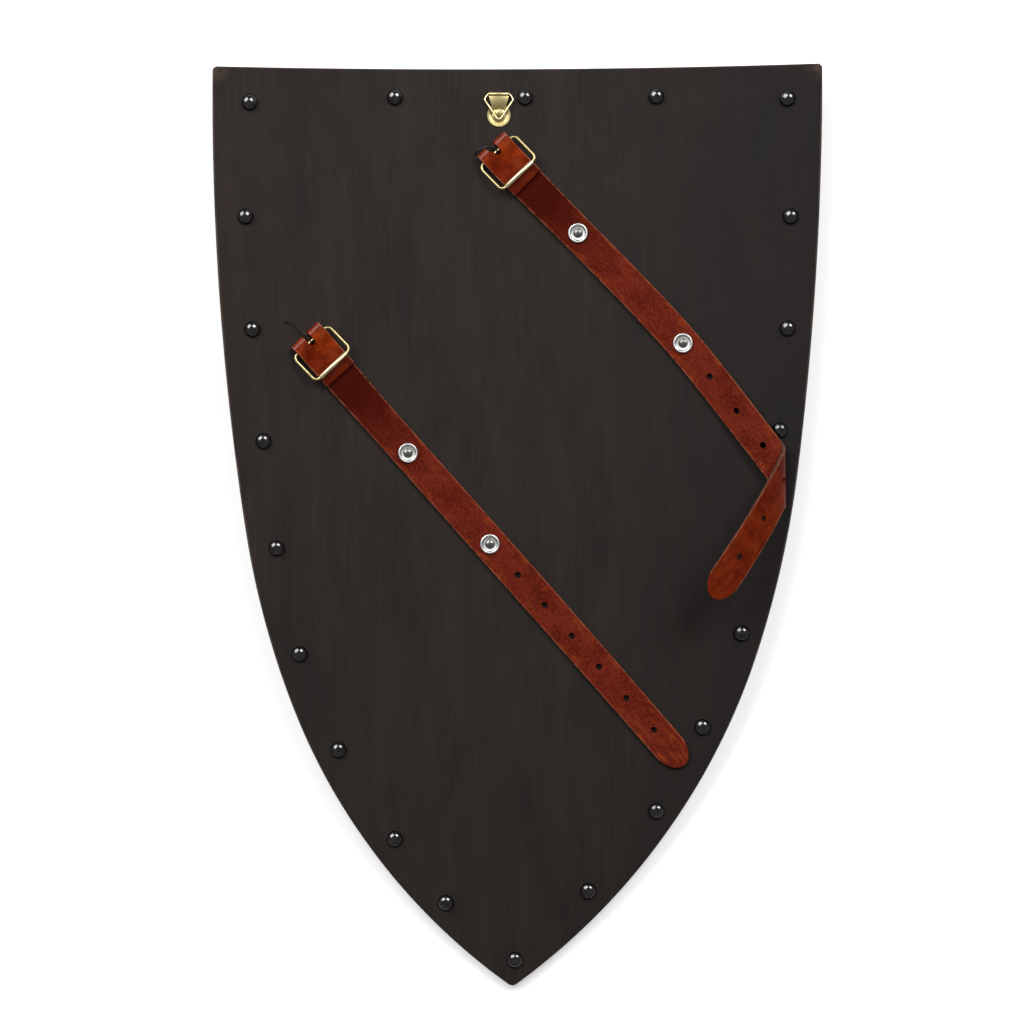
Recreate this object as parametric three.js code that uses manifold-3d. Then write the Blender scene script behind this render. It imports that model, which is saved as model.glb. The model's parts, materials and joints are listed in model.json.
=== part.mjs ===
// A wooden heater shield, seen from its back: a board bent round an upright cylinder, with 22 domed nails,
// a brass picture hanger and two leather straps, each with a brass roller buckle and two rivets.
//
// Millimetres. The shield lies on its front, so the back faces up (+Z). The top edge is towards +Y and the
// origin is on the floor under the middle. Most places are given on the flat pattern of the back face, as
// (u, y) with h above the face, before the board is bent: see onBack().
import * as THREE from "three";
import { mergeVertices } from "three/addons/utils/BufferGeometryUtils.js";
import Module from "manifold-3d";

const wasm = await Module();
wasm.setup();

// ---- Driving dimensions -------------------------------------------------------------------------------
const GAP = 0.3; // air between neighbouring pieces

const BOARD = {
  thickness: 10,
  bend: 1060, // radius of the hollow back face
  restDepth: 0.42, // how far the front is planed off along the middle, which leaves a flat 60 mm wide
  halfWidth: 229.6,
  cornerRadius: 2.5,
  tipRadius: 5,
};
// Each side runs straight down from its top corner, then through three tangent arcs to the tip.
const LEFT_SIDE = { top: 345.7, straight: 22, arcs: [[2150, 8.74], [640, 12.77], [464, 40]] };
const RIGHT_SIDE = { top: 347.8, straight: 6, arcs: [[2454, 7.02], [736, 11.32], [502, 40]] };
const ARC_STEP = 30; // longest straight stretch along an arc of the outline

const NAIL = { radius: 6, skirt: 0.5, dome: 3.9, shank: 2, depth: 7 };
// The nails were driven by hand, so each has its own place round the edge.
const NAILS = {
  top: [[-202.4, 319], [-92.7, 324.6], [5.8, 325], [105.1, 325.2], [204.1, 321.9]],
  left: [
    [-205.5, 233.3], [-200.2, 148.5], [-191.9, 64.4], [-182, -16.1],
    [-164.7, -95.9], [-135.2, -168.5], [-92.7, -236.1], [-54.1, -284.7],
  ],
  right: [
    [206.4, 233.3], [204.1, 149.2], [198.1, 72.6], [186, -2.5],
    [169.4, -80.1], [139.9, -151.1], [105.1, -214.8], [53.6, -275.7],
  ],
  tip: [[-1.8, -328]],
};

const LEATHER = 2.8; // strap thickness
const STRAP = {
  halfWidths: [[0, 14.1], [45, 13.6], [90, 13], [260, 13], [440, 12.4]], // by distance from the fold
  flap: 41, // length folded back over the buckle's heel bar
  pressed: 18, // where the flap lies down on the strap, measured from the fold
  slot: 10.6, // depth of the buckle slot, measured from the fold
  slotHalf: 2.5,
  punchRadius: 2.5,
  tip: 1.25, // length of the rounded tip for each millimetre of half width
};
const UPPER = {
  name: "upper",
  route: [[-20.6, 289.2], [-7.2, 275.1], [27.6, 240], [91.4, 175], [132.1, 130], [186.5, 61.2], [206.2, 34.3]],
  rivets: [[46, 221.9], [125.6, 138.4]],
  punches: [242.5, 275.7, 308.4, 341.4, 376.7, 411.7],
  length: 447,
  slotFlare: [6.5, 4.2], // the slot's left wall leans out: start and spread, from the deep end
};
const LOWER = {
  name: "lower",
  route: [[-161.9, 144.6], [-148.2, 130.1], [-105.3, 81.8], [-34.7, 2.8], [45.8, -87.8], [127.9, -181.3]],
  rivets: [[-83, 55.6], [-20.8, -13.2]],
  punches: [243.3, 273.9, 304.8, 336, 367.5, 399.2],
  length: 434.5,
  slotFlare: null,
};
// The upper strap's end turns over itself along a line parallel to Y, then springs up in a wide curl.
const TURN = {
  line: 199.4, // u where the leather leaves the plane of the strap
  radius: 3.2,
  angle: THREE.MathUtils.degToRad(125),
  lift: 4.4, // the strap rests on a nail here
  liftFrom: -55, // distance before the line where the lift begins
  liftTo: -9,
  curl: 90, // radius of the springing tail
};

const WIRE = 1.15; // wire radius of the buckle frames
const BUCKLE = { heelFromFold: 7.4, length: 24.8, halfWidth: 18, corner: 4 };
const ROLLER = { inner: WIRE + GAP, outer: 1.9, halfLength: 13.7 };
const PRONG = 0.65; // wire radius of the prongs
// Prong legs from the heel bar outwards: distance from the fold, distance across, height.
const PRONG_LEGS = {
  upper: [
    [[5.6, 0, 5.7], [3.9, 0.1, 6], [1.4, -1.7, 5.6], [-1.2, -4.8, 4.8], [-2.5, -8.5, 3.7], [-2.9, -11.8, 2.6],
      [-1.7, -13.6, 1.6]],
    [[5.6, 0, 5.7], [3.9, 0.6, 5.9], [0, 1.2, 5.2], [-3.8, 1.2, 4.2]],
  ],
  lower: [
    [[5.6, 0, 5.7], [1.8, 0.8, 5.3], [-2.8, 1, 4.4], [-8.1, 0.8, 3.2], [-13.6, -1.3, 2.1], [-18.1, -4.4, 1.3]],
  ],
};

const RIVET = { shank: 2, head: 4.5, headTop: -7.8, headBottom: -9.2, cap: 3.4, capRise: 1.6 };
const WASHER = { hole: 2.4, dish: 5.3, rim: 7.6, plate: 0.6, rimRise: 2 };

const HANGER = {
  place: [-14, 327.3], // centre of the barrel
  halfLength: 7.8,
  barrel: 1.55,
  bore: 1.05,
  plate: 1,
  tongue: [7.7, 4.6], // half widths at the barrel and at the disc
  disc: 9,
  discFrom: 15.8, // distance from the barrel to the disc's centre
  screwFrom: 14,
};
const RING = { wire: 0.75, tilt: THREE.MathUtils.degToRad(7) };
const SCREW = { head: 3, dome: 1.3, shank: 1.2, depth: 8 };

// ---- Colours ------------------------------------------------------------------------------------------
const FINISH = {
  wood: { color: 0x2b2523, roughness: 0.6, metalness: 0 },
  gunmetal: { color: 0x35353a, roughness: 0.25, metalness: 0.9 },
  leather: { color: 0x6a2a16, roughness: 0.65, metalness: 0 },
  brass: { color: 0xb59b57, roughness: 0.3, metalness: 1 },
  steel: { color: 0xc9c9c8, roughness: 0.3, metalness: 1 },
  iron: { color: 0x2e2826, roughness: 0.5, metalness: 0.7 },
};

// ---- Solids -------------------------------------------------------------------------------------------

/** Turns a closed geometry into a manifold solid. */
function solid(geometry) {
  const bare = geometry.clone();
  for (const name of ["normal", "uv"]) bare.deleteAttribute(name);
  const merged = mergeVertices(bare, 1e-4);
  const index = merged.index.array;
  const kept = [];
  for (let i = 0; i < index.length; i += 3) {
    const [a, b, c] = [index[i], index[i + 1], index[i + 2]];
    if (a !== b && b !== c && c !== a) kept.push(a, b, c);
  }
  const mesh = new wasm.Mesh({
    numProp: 3,
    vertProperties: new Float32Array(merged.attributes.position.array),
    triVerts: new Uint32Array(kept),
  });
  return new wasm.Manifold(mesh);
}

/** Turns a manifold solid back into a geometry. */
function geometryOf(manifold) {
  const { vertProperties, triVerts } = manifold.getMesh();
  const geometry = new THREE.BufferGeometry();
  geometry.setAttribute("position", new THREE.BufferAttribute(new Float32Array(vertProperties), 3));
  geometry.setIndex(new THREE.BufferAttribute(new Uint32Array(triVerts), 1));
  return geometry;
}

/** Joins the first geometries and cuts the others away. */
function carve(joined, cutters = []) {
  let body = joined.map(solid).reduce((all, next) => all.add(next));
  for (const cutter of cutters) body = body.subtract(solid(cutter));
  return geometryOf(body);
}

/** Closed geometry from points and the quads and triangles that join them. */
function faceted(points, faces) {
  const index = [];
  for (const face of faces) {
    index.push(face[0], face[1], face[2]);
    if (face.length === 4) index.push(face[0], face[2], face[3]);
  }
  const geometry = new THREE.BufferGeometry();
  geometry.setAttribute("position", new THREE.Float32BufferAttribute(points.flatMap((p) => p.toArray()), 3));
  geometry.setIndex(index);
  return geometry;
}

/** A turned solid about Z from [radius, height] pairs that start and end on the axis, or close. */
function turned(profile, sides) {
  const points = profile.map(([r, z]) => new THREE.Vector2(r, z));
  return new THREE.LatheGeometry(points, sides).rotateX(Math.PI / 2);
}

/** An upright cylinder between two heights. */
function post(radius, from, to, sides) {
  return new THREE.CylinderGeometry(radius, radius, to - from, sides)
    .rotateX(Math.PI / 2)
    .translate(0, 0, (from + to) / 2);
}

/** A block between two heights, centred on the axis. */
function block(width, depth, from, to) {
  return new THREE.BoxGeometry(width, depth, to - from).translate(0, 0, (from + to) / 2);
}

/** A loop of points whose corners, given as [x, y, radius], are rounded with arcs. */
function roundedLoop(corners, steps) {
  const loop = [];
  corners.forEach(([x, y, radius], i) => {
    const at = new THREE.Vector2(x, y);
    const before = new THREE.Vector2(...corners.at(i - 1)).sub(at).normalize();
    const after = new THREE.Vector2(...corners[(i + 1) % corners.length]).sub(at).normalize();
    if (!radius) return loop.push(at);
    const half = Math.acos(before.dot(after)) / 2;
    const middle = before.clone().add(after).normalize();
    const centre = at.clone().addScaledVector(middle, radius / Math.sin(half));
    const start = before.clone().multiplyScalar(radius / Math.tan(half)).add(at).sub(centre);
    const sweep = Math.PI - 2 * half;
    const turn = Math.sign(before.cross(after)) * sweep;
    for (let k = 0; k <= steps; k++) {
      loop.push(start.clone().rotateAround(new THREE.Vector2(), (-turn * k) / steps).add(centre));
    }
  });
  return loop;
}

/** A closed wire ring of round section along a flat loop in the XY plane. */
function wireLoop(loop, radius, sides) {
  const points = [];
  const faces = [];
  const count = loop.length;
  loop.forEach((at, i) => {
    const into = at.clone().sub(loop.at(i - 1)).normalize();
    const out = loop[(i + 1) % count].clone().sub(at).normalize();
    const along = into.add(out).normalize();
    const mitre = 1 / along.dot(out);
    for (let k = 0; k < sides; k++) {
      const angle = (2 * Math.PI * (k + 0.5)) / sides;
      const side = radius * mitre * Math.cos(angle);
      points.push(new THREE.Vector3(at.x + along.y * side, at.y - along.x * side, radius * Math.sin(angle)));
      const [a, b] = [i * sides, ((i + 1) % count) * sides];
      const next = (k + 1) % sides;
      faces.push([a + k, b + k, b + next, a + next]);
    }
  });
  return faceted(points, faces);
}

// ---- The bent board's own coordinates -----------------------------------------------------------------
const AXIS_HEIGHT = BOARD.bend + BOARD.thickness - BOARD.restDepth; // of the cylinder's axis above the floor

/** The point at (u, y) on the flat pattern of the back face and h above it, once the board is bent. */
function onBack(u, y, h) {
  const angle = u / BOARD.bend;
  const reach = BOARD.bend - h;
  return new THREE.Vector3(reach * Math.sin(angle), y, AXIS_HEIGHT - reach * Math.cos(angle));
}

/** Bends a geometry built on the flat pattern, with its Z as the height above the back face. */
function bent(geometry) {
  const position = geometry.attributes.position;
  for (let i = 0; i < position.count; i++) {
    const at = onBack(position.getX(i), position.getY(i), position.getZ(i));
    position.setXYZ(i, at.x, at.y, at.z);
  }
  return geometry;
}

/** Seats an object on the back face at (u, y, h), with its own X turned by heading about its Z. */
function seat(object, [u, y, h = 0], heading = 0) {
  object.position.copy(onBack(u, y, h));
  object.rotation.set(0, -u / BOARD.bend, heading, "XYZ");
  object.updateMatrix();
  return object;
}

/** The same seat, applied to a geometry that another piece is cut with. */
function seated(geometry, place, heading = 0) {
  return geometry.applyMatrix4(seat(new THREE.Object3D(), place, heading).matrix);
}

// ---- Board --------------------------------------------------------------------------------------------

/** One side of the outline, from its top corner down past the tip, on the right of the middle. */
function sideCurve({ top, straight, arcs }) {
  const points = [[BOARD.halfWidth, top - straight]];
  let heading = 0;
  for (const [radius, degrees] of arcs) {
    const sweep = THREE.MathUtils.degToRad(degrees);
    const steps = Math.ceil((radius * sweep) / ARC_STEP);
    const chord = 2 * radius * Math.sin(sweep / steps / 2);
    for (let i = 0; i < steps; i++) {
      const [u, y] = points.at(-1);
      const course = heading + (sweep * (i + 0.5)) / steps;
      points.push([u - chord * Math.sin(course), y - chord * Math.cos(course)]);
    }
    heading += sweep;
  }
  return points;
}

/** Where the two sides meet: the left one comes mirrored, with its u changed in sign. */
function tipOf(left, right) {
  for (let i = 1; i < left.length; i++) {
    for (let j = 1; j < right.length; j++) {
      const [a, b, c, d] = [left[i - 1], left[i], right[j - 1], right[j]];
      const [rx, ry, sx, sy] = [b[0] - a[0], b[1] - a[1], d[0] - c[0], d[1] - c[1]];
      const cross = rx * sy - ry * sx;
      const t = ((c[0] - a[0]) * sy - (c[1] - a[1]) * sx) / cross;
      const s = ((c[0] - a[0]) * ry - (c[1] - a[1]) * rx) / cross;
      if (t >= 0 && t <= 1 && s >= 0 && s <= 1) return { i, j, at: [a[0] + t * rx, a[1] + t * ry] };
    }
  }
  throw new Error("the sides of the outline don't meet");
}

/** The outline on the flat pattern, anticlockwise seen from the back, from the top left corner. */
function outline() {
  const left = sideCurve(LEFT_SIDE).map(([u, y]) => [-u, y]);
  const right = sideCurve(RIGHT_SIDE);
  const { i, j, at } = tipOf(left, right);
  const corners = [
    [-BOARD.halfWidth, LEFT_SIDE.top, BOARD.cornerRadius],
    ...left.slice(0, i).map(([u, y]) => [u, y, 0]),
    [...at, BOARD.tipRadius],
    ...right.slice(0, j).reverse().map(([u, y]) => [u, y, 0]),
    [BOARD.halfWidth, RIGHT_SIDE.top, BOARD.cornerRadius],
  ];
  return roundedLoop(corners, 4);
}

/** Height of a chain of points at u, by straight lines between them. */
function levelAt(chain, u) {
  const after = Math.max(1, chain.findIndex((p) => p.x >= u - 1e-9));
  const [a, b] = [chain[after - 1], chain[after]];
  return b.x - a.x < 1e-9 ? b.y : a.y + ((b.y - a.y) * (u - a.x)) / (b.x - a.x);
}

/** Splits a loop that runs once across in u into columns of [u, lowest y, highest y]. */
function columnsOf(loop, extra = []) {
  const byU = (a, b) => a.x - b.x || a.y - b.y;
  const first = Math.min(...loop.map((p) => p.x));
  const last = Math.max(...loop.map((p) => p.x));
  const ends = [first, last].map((u) => loop.filter((p) => Math.abs(p.x - u) < 1e-6).sort(byU));
  const [start, end] = ends;
  const line = (p) => start[0].y + ((end[0].y - start[0].y) * (p.x - first)) / (last - first);
  const top = (p) => p.y > line(p) + 1e-6;
  const inner = loop.filter((p) => p.x > first + 1e-6 && p.x < last - 1e-6).sort(byU);
  const high = [start.at(-1), ...inner.filter(top), end.at(-1)];
  const low = [start[0], ...inner.filter((p) => !top(p)), end[0]];
  const us = [...loop.map((p) => p.x), ...extra].filter((u) => u >= first && u <= last).sort((a, b) => a - b);
  return us
    .filter((u, i) => i === 0 || u - us[i - 1] > 0.02)
    .map((u) => [u, levelAt(low, u), levelAt(high, u)]);
}

/** The board without its holes. */
function plank() {
  const columns = columnsOf(outline());
  const points = columns.flatMap(([u, low, high]) => [
    onBack(u, low, 0),
    onBack(u, high, 0),
    onBack(u, high, -BOARD.thickness),
    onBack(u, low, -BOARD.thickness),
  ]);
  const last = points.length - 4;
  const faces = [[0, 1, 2, 3], [last + 3, last + 2, last + 1, last]];
  for (let a = 0; a < last; a += 4) {
    for (let k = 0; k < 4; k++) {
      const next = (k + 1) % 4;
      faces.push([a + k, a + 4 + k, a + 4 + next, a + next]);
    }
  }
  const floorCut = block(2 * BOARD.halfWidth, 3 * BOARD.halfWidth * 2, -5, 0);
  return carve([faceted(points, faces)], [floorCut]);
}

// ---- Nails, rivets and washers ------------------------------------------------------------------------

function nailGeometry() {
  const { radius, skirt, dome, shank, depth } = NAIL;
  const profile = [[0, GAP], [radius, GAP]];
  const steps = 2;
  for (let i = 0; i < steps; i++) {
    const angle = (Math.PI / 2.1) * (i / steps);
    profile.push([radius * Math.cos(angle), GAP + skirt + dome * Math.sin(angle)]);
  }
  profile.push([0, GAP + skirt + dome]);
  return carve([turned(profile, 12), block(shank, shank, -depth, GAP + skirt)]);
}

function rivetGeometry() {
  const { shank, head, headTop, headBottom, cap, capRise } = RIVET;
  const under = 2 * GAP + LEATHER + WASHER.plate + GAP; // underside of the domed end
  return turned([
    [0, headBottom], [head, headBottom], [head, headTop], [shank, headTop], [shank, under], [cap, under],
    [cap, under + 0.3 * capRise], [0.7 * cap, under + 0.8 * capRise], [0, under + capRise],
  ], 12);
}

function washerGeometry() {
  const { hole, dish, rim, plate, rimRise } = WASHER;
  const foot = 2 * GAP + LEATHER;
  return turned([
    [hole, foot], [rim - 0.5, foot], [rim, foot + 0.5], [rim - 0.2, foot + rimRise - 0.2],
    [rim - 1, foot + rimRise], [dish + 0.4, foot + 0.8 * rimRise], [dish, foot + plate], [hole, foot + plate],
    [hole, foot],
  ], 14);
}

// ---- Straps -------------------------------------------------------------------------------------------
const LAID = GAP + LEATHER / 2; // height of the middle of the leather where the strap lies on the board
const FOLD_RADIUS = LEATHER / 2 + GAP + WIRE; // middle of the leather round the heel bar
const HEEL_HEIGHT = GAP + LEATHER + GAP + WIRE;
const FLAP_HEIGHT = LAID + LEATHER + GAP;

/** Half the strap's width at a distance from the fold. */
function halfWidthAt(distance) {
  const table = STRAP.halfWidths;
  const after = Math.max(1, table.findIndex(([d]) => d >= distance));
  const [[d0, w0], [d1, w1]] = [table[after - 1], table[after]];
  return w0 + ((w1 - w0) * (distance - d0)) / (d1 - d0);
}

/** The strap's middle line on the flat pattern, as a curve of 2-D points. */
function middleLine(route) {
  const curve = new THREE.SplineCurve(route.map(([u, y]) => new THREE.Vector2(u, y)));
  curve.arcLengthDivisions = 400;
  const length = curve.getLength();
  return {
    length,
    /** Point and direction at a distance from the fold; past the end the line runs on straight. */
    at(distance) {
      const t = THREE.MathUtils.clamp(distance / length, 0, 1);
      const tangent = curve.getTangentAt(t);
      const point = curve.getPointAt(t).addScaledVector(tangent, distance - t * length);
      return { point, tangent };
    },
  };
}

/** Direction of the strap at its buckle, as an angle from X. */
function headingOf(route) {
  return Math.atan2(route[1][1] - route[0][1], route[1][0] - route[0][0]);
}

/** A cross line of the strap: its two ends and the normal of the leather there. */
function crossLine(line, distance, halfWidth, height, slope) {
  const { point, tangent } = line.at(distance);
  const across = new THREE.Vector3(-tangent.y, tangent.x, 0);
  const middle = new THREE.Vector3(point.x, point.y, height);
  const normal = new THREE.Vector3(
    -Math.sin(slope) * tangent.x, -Math.sin(slope) * tangent.y, Math.cos(slope));
  return {
    right: middle.clone().addScaledVector(across, halfWidth),
    left: middle.clone().addScaledVector(across, -halfWidth),
    normal,
  };
}

/** Cross lines of the flap and of the fold round the heel bar, from the flap's end to the strap's start. */
function foldLines(line) {
  const lines = [];
  const top = LAID + 2 * FOLD_RADIUS;
  const centre = FOLD_RADIUS + LEATHER / 2;
  const flapLine = (d, h, slope) => crossLine(line, d, halfWidthAt(0), h, Math.PI + slope);
  lines.push(flapLine(STRAP.flap, FLAP_HEIGHT, 0));
  const falling = 5;
  const from = BUCKLE.heelFromFold + 1;
  for (let i = 0; i <= falling; i++) {
    const t = i / falling;
    const ease = t * t * (3 - 2 * t);
    const slope = (6 * t * (1 - t) * (top - FLAP_HEIGHT)) / (STRAP.pressed - from);
    const d = THREE.MathUtils.lerp(STRAP.pressed, from, t);
    lines.push(flapLine(d, THREE.MathUtils.lerp(FLAP_HEIGHT, top, ease), -Math.atan(slope)));
  }
  const steps = 8;
  for (let i = 0; i <= steps; i++) {
    const angle = Math.PI * (1 - i / steps);
    const d = centre - FOLD_RADIUS * Math.sin(angle);
    const h = LAID + FOLD_RADIUS * (1 - Math.cos(angle));
    lines.push(crossLine(line, d, halfWidthAt(0), h, -angle));
  }
  return lines;
}

/** A closed strip of leather through cross lines, bent onto the board. */
function leatherStrip(lines) {
  const points = lines.flatMap(({ right, left, normal }) => {
    const offset = normal.clone().multiplyScalar(LEATHER / 2);
    return [right.clone().add(offset), left.clone().add(offset), left.clone().sub(offset),
      right.clone().sub(offset)];
  });
  const last = points.length - 4;
  const faces = [[0, 3, 2, 1], [last, last + 1, last + 2, last + 3]];
  for (let a = 0; a < last; a += 4) {
    for (let k = 0; k < 4; k++) {
      const next = (k + 1) % 4;
      faces.push([a + k, a + next, a + 4 + next, a + 4 + k]);
    }
  }
  return bent(faceted(points, faces));
}

/** Cross lines of a strap that lies flat down to its rounded tip. */
function flatRun(line, length) {
  const lines = [];
  const half = halfWidthAt(length);
  const tip = STRAP.tip * half;
  const runEnd = length - tip;
  const steps = 9;
  for (let i = 1; i <= steps; i++) {
    const d = THREE.MathUtils.lerp(STRAP.flap + 6, runEnd, i / steps);
    lines.push(crossLine(line, d, halfWidthAt(d), LAID, 0));
  }
  for (const turn of [0.35, 0.65, 0.85, 0.96]) {
    lines.push(crossLine(line, runEnd + turn * tip, half * Math.sqrt(1 - turn * turn), LAID, 0));
  }
  lines.push(crossLine(line, length, 0.12 * half, LAID, 0));
  return lines;
}

/** Plan place, height and slope of the turned-over end, at t past the turning line. */
function turnedOver(t) {
  const { line, radius, angle, lift, liftFrom, liftTo, curl } = TURN;
  if (t <= 0) {
    const x = THREE.MathUtils.clamp((t - liftFrom) / (liftTo - liftFrom), 0, 1);
    const gradient = (6 * x * (1 - x) * lift) / (liftTo - liftFrom);
    return { u: line + t, h: LAID + lift * x * x * (3 - 2 * x), slope: Math.atan(gradient) };
  }
  const base = LAID + lift;
  if (t <= radius * angle) {
    const turn = t / radius;
    return { u: line + radius * Math.sin(turn), h: base + radius * (1 - Math.cos(turn)), slope: turn };
  }
  const slope = angle + (t - radius * angle) / curl;
  return {
    u: line + radius * Math.sin(angle) + curl * (Math.sin(slope) - Math.sin(angle)),
    h: base + radius * (1 - Math.cos(angle)) + curl * (Math.cos(angle) - Math.cos(slope)),
    slope,
  };
}

/** Cross lines of the upper strap's run and of its end, which turns over along a line parallel to Y. */
function turnedRun(line, length) {
  const lines = [];
  const squareTo = 205; // last square cut; after it the cross lines are parallel to Y
  for (let d = STRAP.flap + 6; d <= squareTo; d += (squareTo - STRAP.flap - 6) / 5) {
    lines.push(crossLine(line, d, halfWidthAt(d), LAID, 0));
  }
  const edge = (d, side) => {
    const { point, tangent } = line.at(d);
    const reach = side * halfWidthAt(d);
    return new THREE.Vector2(point.x - tangent.y * reach, point.y + tangent.x * reach);
  };
  const half = halfWidthAt(length);
  const tip = STRAP.tip * half;
  const loop = [];
  for (let d = squareTo + 20; d < length - tip; d += 20) loop.push(edge(d, -1));
  const centre = line.at(length - tip);
  const across = new THREE.Vector2(-centre.tangent.y, centre.tangent.x);
  for (let k = 0; k <= 12; k++) {
    const angle = (Math.PI * (k - 6)) / 12;
    const corner = centre.point.clone().addScaledVector(centre.tangent, tip * Math.cos(angle));
    loop.push(corner.addScaledVector(across, half * Math.sin(angle)));
  }
  for (let d = length - tip - 0.01; d > squareTo + 20; d -= 20) loop.push(edge(d, 1));
  const start = edge(squareTo + 30, 1).x;
  const turns = [0, 1, 2, 3, 4, 5, 6, 7, 8].map((k) => TURN.line + (TURN.radius * TURN.angle * k) / 8);
  const lifts = [-45, -36, -27, -18, -9, 15, 24, 34, 45, 57, 70].map((t) => TURN.line + t);
  for (const [u, low, high] of columnsOf(loop, [...turns, ...lifts])) {
    if (u < start) continue;
    const { u: plan, h, slope } = turnedOver(u - TURN.line);
    lines.push({
      right: new THREE.Vector3(plan, high, h),
      left: new THREE.Vector3(plan, low, h),
      normal: new THREE.Vector3(-Math.sin(slope), 0, Math.cos(slope)),
    });
  }
  return lines;
}

/** A punch for a round hole through the leather, square to it, at a distance from the fold. */
function punch(line, distance, radius, turnsOver) {
  const { point } = line.at(distance);
  const place = turnsOver ? turnedOver(point.x - TURN.line) : { u: point.x, h: LAID, slope: 0 };
  const cutter = post(radius, -LEATHER, LEATHER, 8).rotateY(-place.slope);
  return bent(cutter.translate(place.u, point.y, place.h));
}

/** The cutter for the buckle slot, which runs in from the fold through both layers. */
function slotCutter({ slotFlare }) {
  const { slot, slotHalf } = STRAP;
  const [flareFrom, spread] = slotFlare ?? [slot - slotHalf - 1, 0];
  const shape = new THREE.Shape();
  shape.moveTo(-2, slotHalf);
  shape.lineTo(slot - slotHalf, slotHalf);
  shape.absarc(slot - slotHalf, 0, slotHalf, Math.PI / 2, -Math.PI / 2, true);
  shape.lineTo(flareFrom, -slotHalf);
  shape.lineTo(-2, -slotHalf - spread);
  shape.closePath();
  return new THREE.ExtrudeGeometry(shape, { depth: 16, bevelEnabled: false, curveSegments: 6 })
    .translate(0, 0, -3);
}

/** A strap with its slot and holes. */
function strapGeometry(strap) {
  const line = middleLine(strap.route);
  const turnsOver = strap === UPPER;
  const run = turnsOver ? turnedRun(line, strap.length) : flatRun(line, strap.length);
  const rivetPunches = strap.rivets.map((place) => seated(post(WASHER.hole, -1, 6, 8), place));
  const punches = strap.punches.map((d) => punch(line, d, STRAP.punchRadius, turnsOver));
  const slot = seated(slotCutter(strap), [...strap.route[0], 0], headingOf(strap.route));
  return carve([leatherStrip([...foldLines(line), ...run])], [slot, ...rivetPunches, ...punches]);
}

// ---- Buckles ------------------------------------------------------------------------------------------

/** Tilt of a frame that lies back on its flap, from the heel bar up to the roller. */
const FRAME_TILT = Math.asin((FLAP_HEIGHT + LEATHER / 2 + 2 * GAP + ROLLER.outer - HEEL_HEIGHT) / BUCKLE.length);

function frameGeometry() {
  const { length, halfWidth, corner } = BUCKLE;
  const corners = [[0, -halfWidth, corner], [length, -halfWidth, corner], [length, halfWidth, corner],
    [0, halfWidth, corner]];
  return wireLoop(roundedLoop(corners, 5), WIRE, 6);
}

function rollerGeometry() {
  const { inner, outer, halfLength } = ROLLER;
  return turned([[inner, -halfLength], [outer, -halfLength], [outer, halfLength], [inner, halfLength],
    [inner, -halfLength]], 14).rotateX(Math.PI / 2);
}

/** A wire prong: an eye round the heel bar and one or two legs, in the buckle's own coordinates. */
function prongGeometry(legs) {
  const eyeRadius = WIRE + GAP + PRONG;
  const eye = new THREE.TorusGeometry(eyeRadius, PRONG, 6, 14).rotateX(Math.PI / 2);
  const section = new THREE.Shape();
  section.absarc(0, 0, PRONG, 0, 2 * Math.PI);
  const wires = legs.map((leg) => {
    const points = leg.map(([d, across, h]) =>
      new THREE.Vector3(d - BUCKLE.heelFromFold, across, h - HEEL_HEIGHT));
    const extrudePath = new THREE.CatmullRomCurve3(points);
    return new THREE.ExtrudeGeometry(section, { extrudePath, steps: 2 * leg.length, curveSegments: 3 });
  });
  return carve([eye, ...wires]);
}

/** Frame, roller and prong of one buckle, in a group at its heel bar. */
function buckle(strap) {
  const heading = headingOf(strap.route);
  const [u, y] = strap.route[0];
  const away = BUCKLE.heelFromFold;
  const group = seat(new THREE.Group(),
    [u + away * Math.cos(heading), y + away * Math.sin(heading), HEEL_HEIGHT], heading);
  const lying = new THREE.Group();
  lying.rotation.y = -FRAME_TILT;
  const roller = piece(`buckle_roller_${strap.name}`, rollerGeometry(), "brass");
  roller.position.x = BUCKLE.length;
  lying.add(piece(`buckle_frame_${strap.name}`, frameGeometry(), "brass"), roller);
  group.add(lying, piece(`buckle_prong_${strap.name}`, prongGeometry(PRONG_LEGS[strap.name]), "iron"));
  return group;
}

// ---- Picture hanger -----------------------------------------------------------------------------------

function hangerPlateGeometry() {
  const { halfLength, barrel, bore, plate, tongue, disc, discFrom, screwFrom } = HANGER;
  const lie = (geometry) => geometry.rotateZ(Math.PI / 2);
  const axis = GAP + barrel;
  const shape = new THREE.Shape();
  shape.moveTo(-tongue[0], 0);
  shape.lineTo(-tongue[1], -discFrom);
  shape.lineTo(tongue[1], -discFrom);
  shape.lineTo(tongue[0], 0);
  const tongueSolid = new THREE.ExtrudeGeometry(shape, { depth: plate, bevelEnabled: false })
    .translate(0, 0, GAP);
  const discSolid = post(disc, GAP, GAP + plate, 24).translate(0, -discFrom, 0);
  const tube = (radius, half) => lie(new THREE.CylinderGeometry(radius, radius, 2 * half, 14))
    .translate(0, 0, axis);
  const screwHole = post(SCREW.shank + GAP, -1, 3, 12).translate(0, -screwFrom, 0);
  return carve([tongueSolid, discSolid, tube(barrel, halfLength)], [tube(bore, halfLength + 1), screwHole]);
}

function ringGeometry() {
  const corners = [[8.4, 0, 1.2], [-8.4, 0, 1.2], [-11, -4.2, 1.6], [0, -21, 1.8], [11, -4.2, 1.6]];
  return wireLoop(roundedLoop(corners, 4), RING.wire, 6);
}

function screwGeometry() {
  const { head, dome, shank, depth } = SCREW;
  const seatHeight = HANGER.plate + 2 * GAP;
  const body = turned([
    [0, -depth], [shank, -depth], [shank, seatHeight], [head, seatHeight], [head, seatHeight + 0.3 * dome],
    [0.75 * head, seatHeight + 0.8 * dome], [0, seatHeight + dome],
  ], 14);
  return carve([body], [block(2.4 * head, 0.7, seatHeight + 0.5 * dome, seatHeight + 2 * dome).rotateZ(0.6)]);
}

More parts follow.
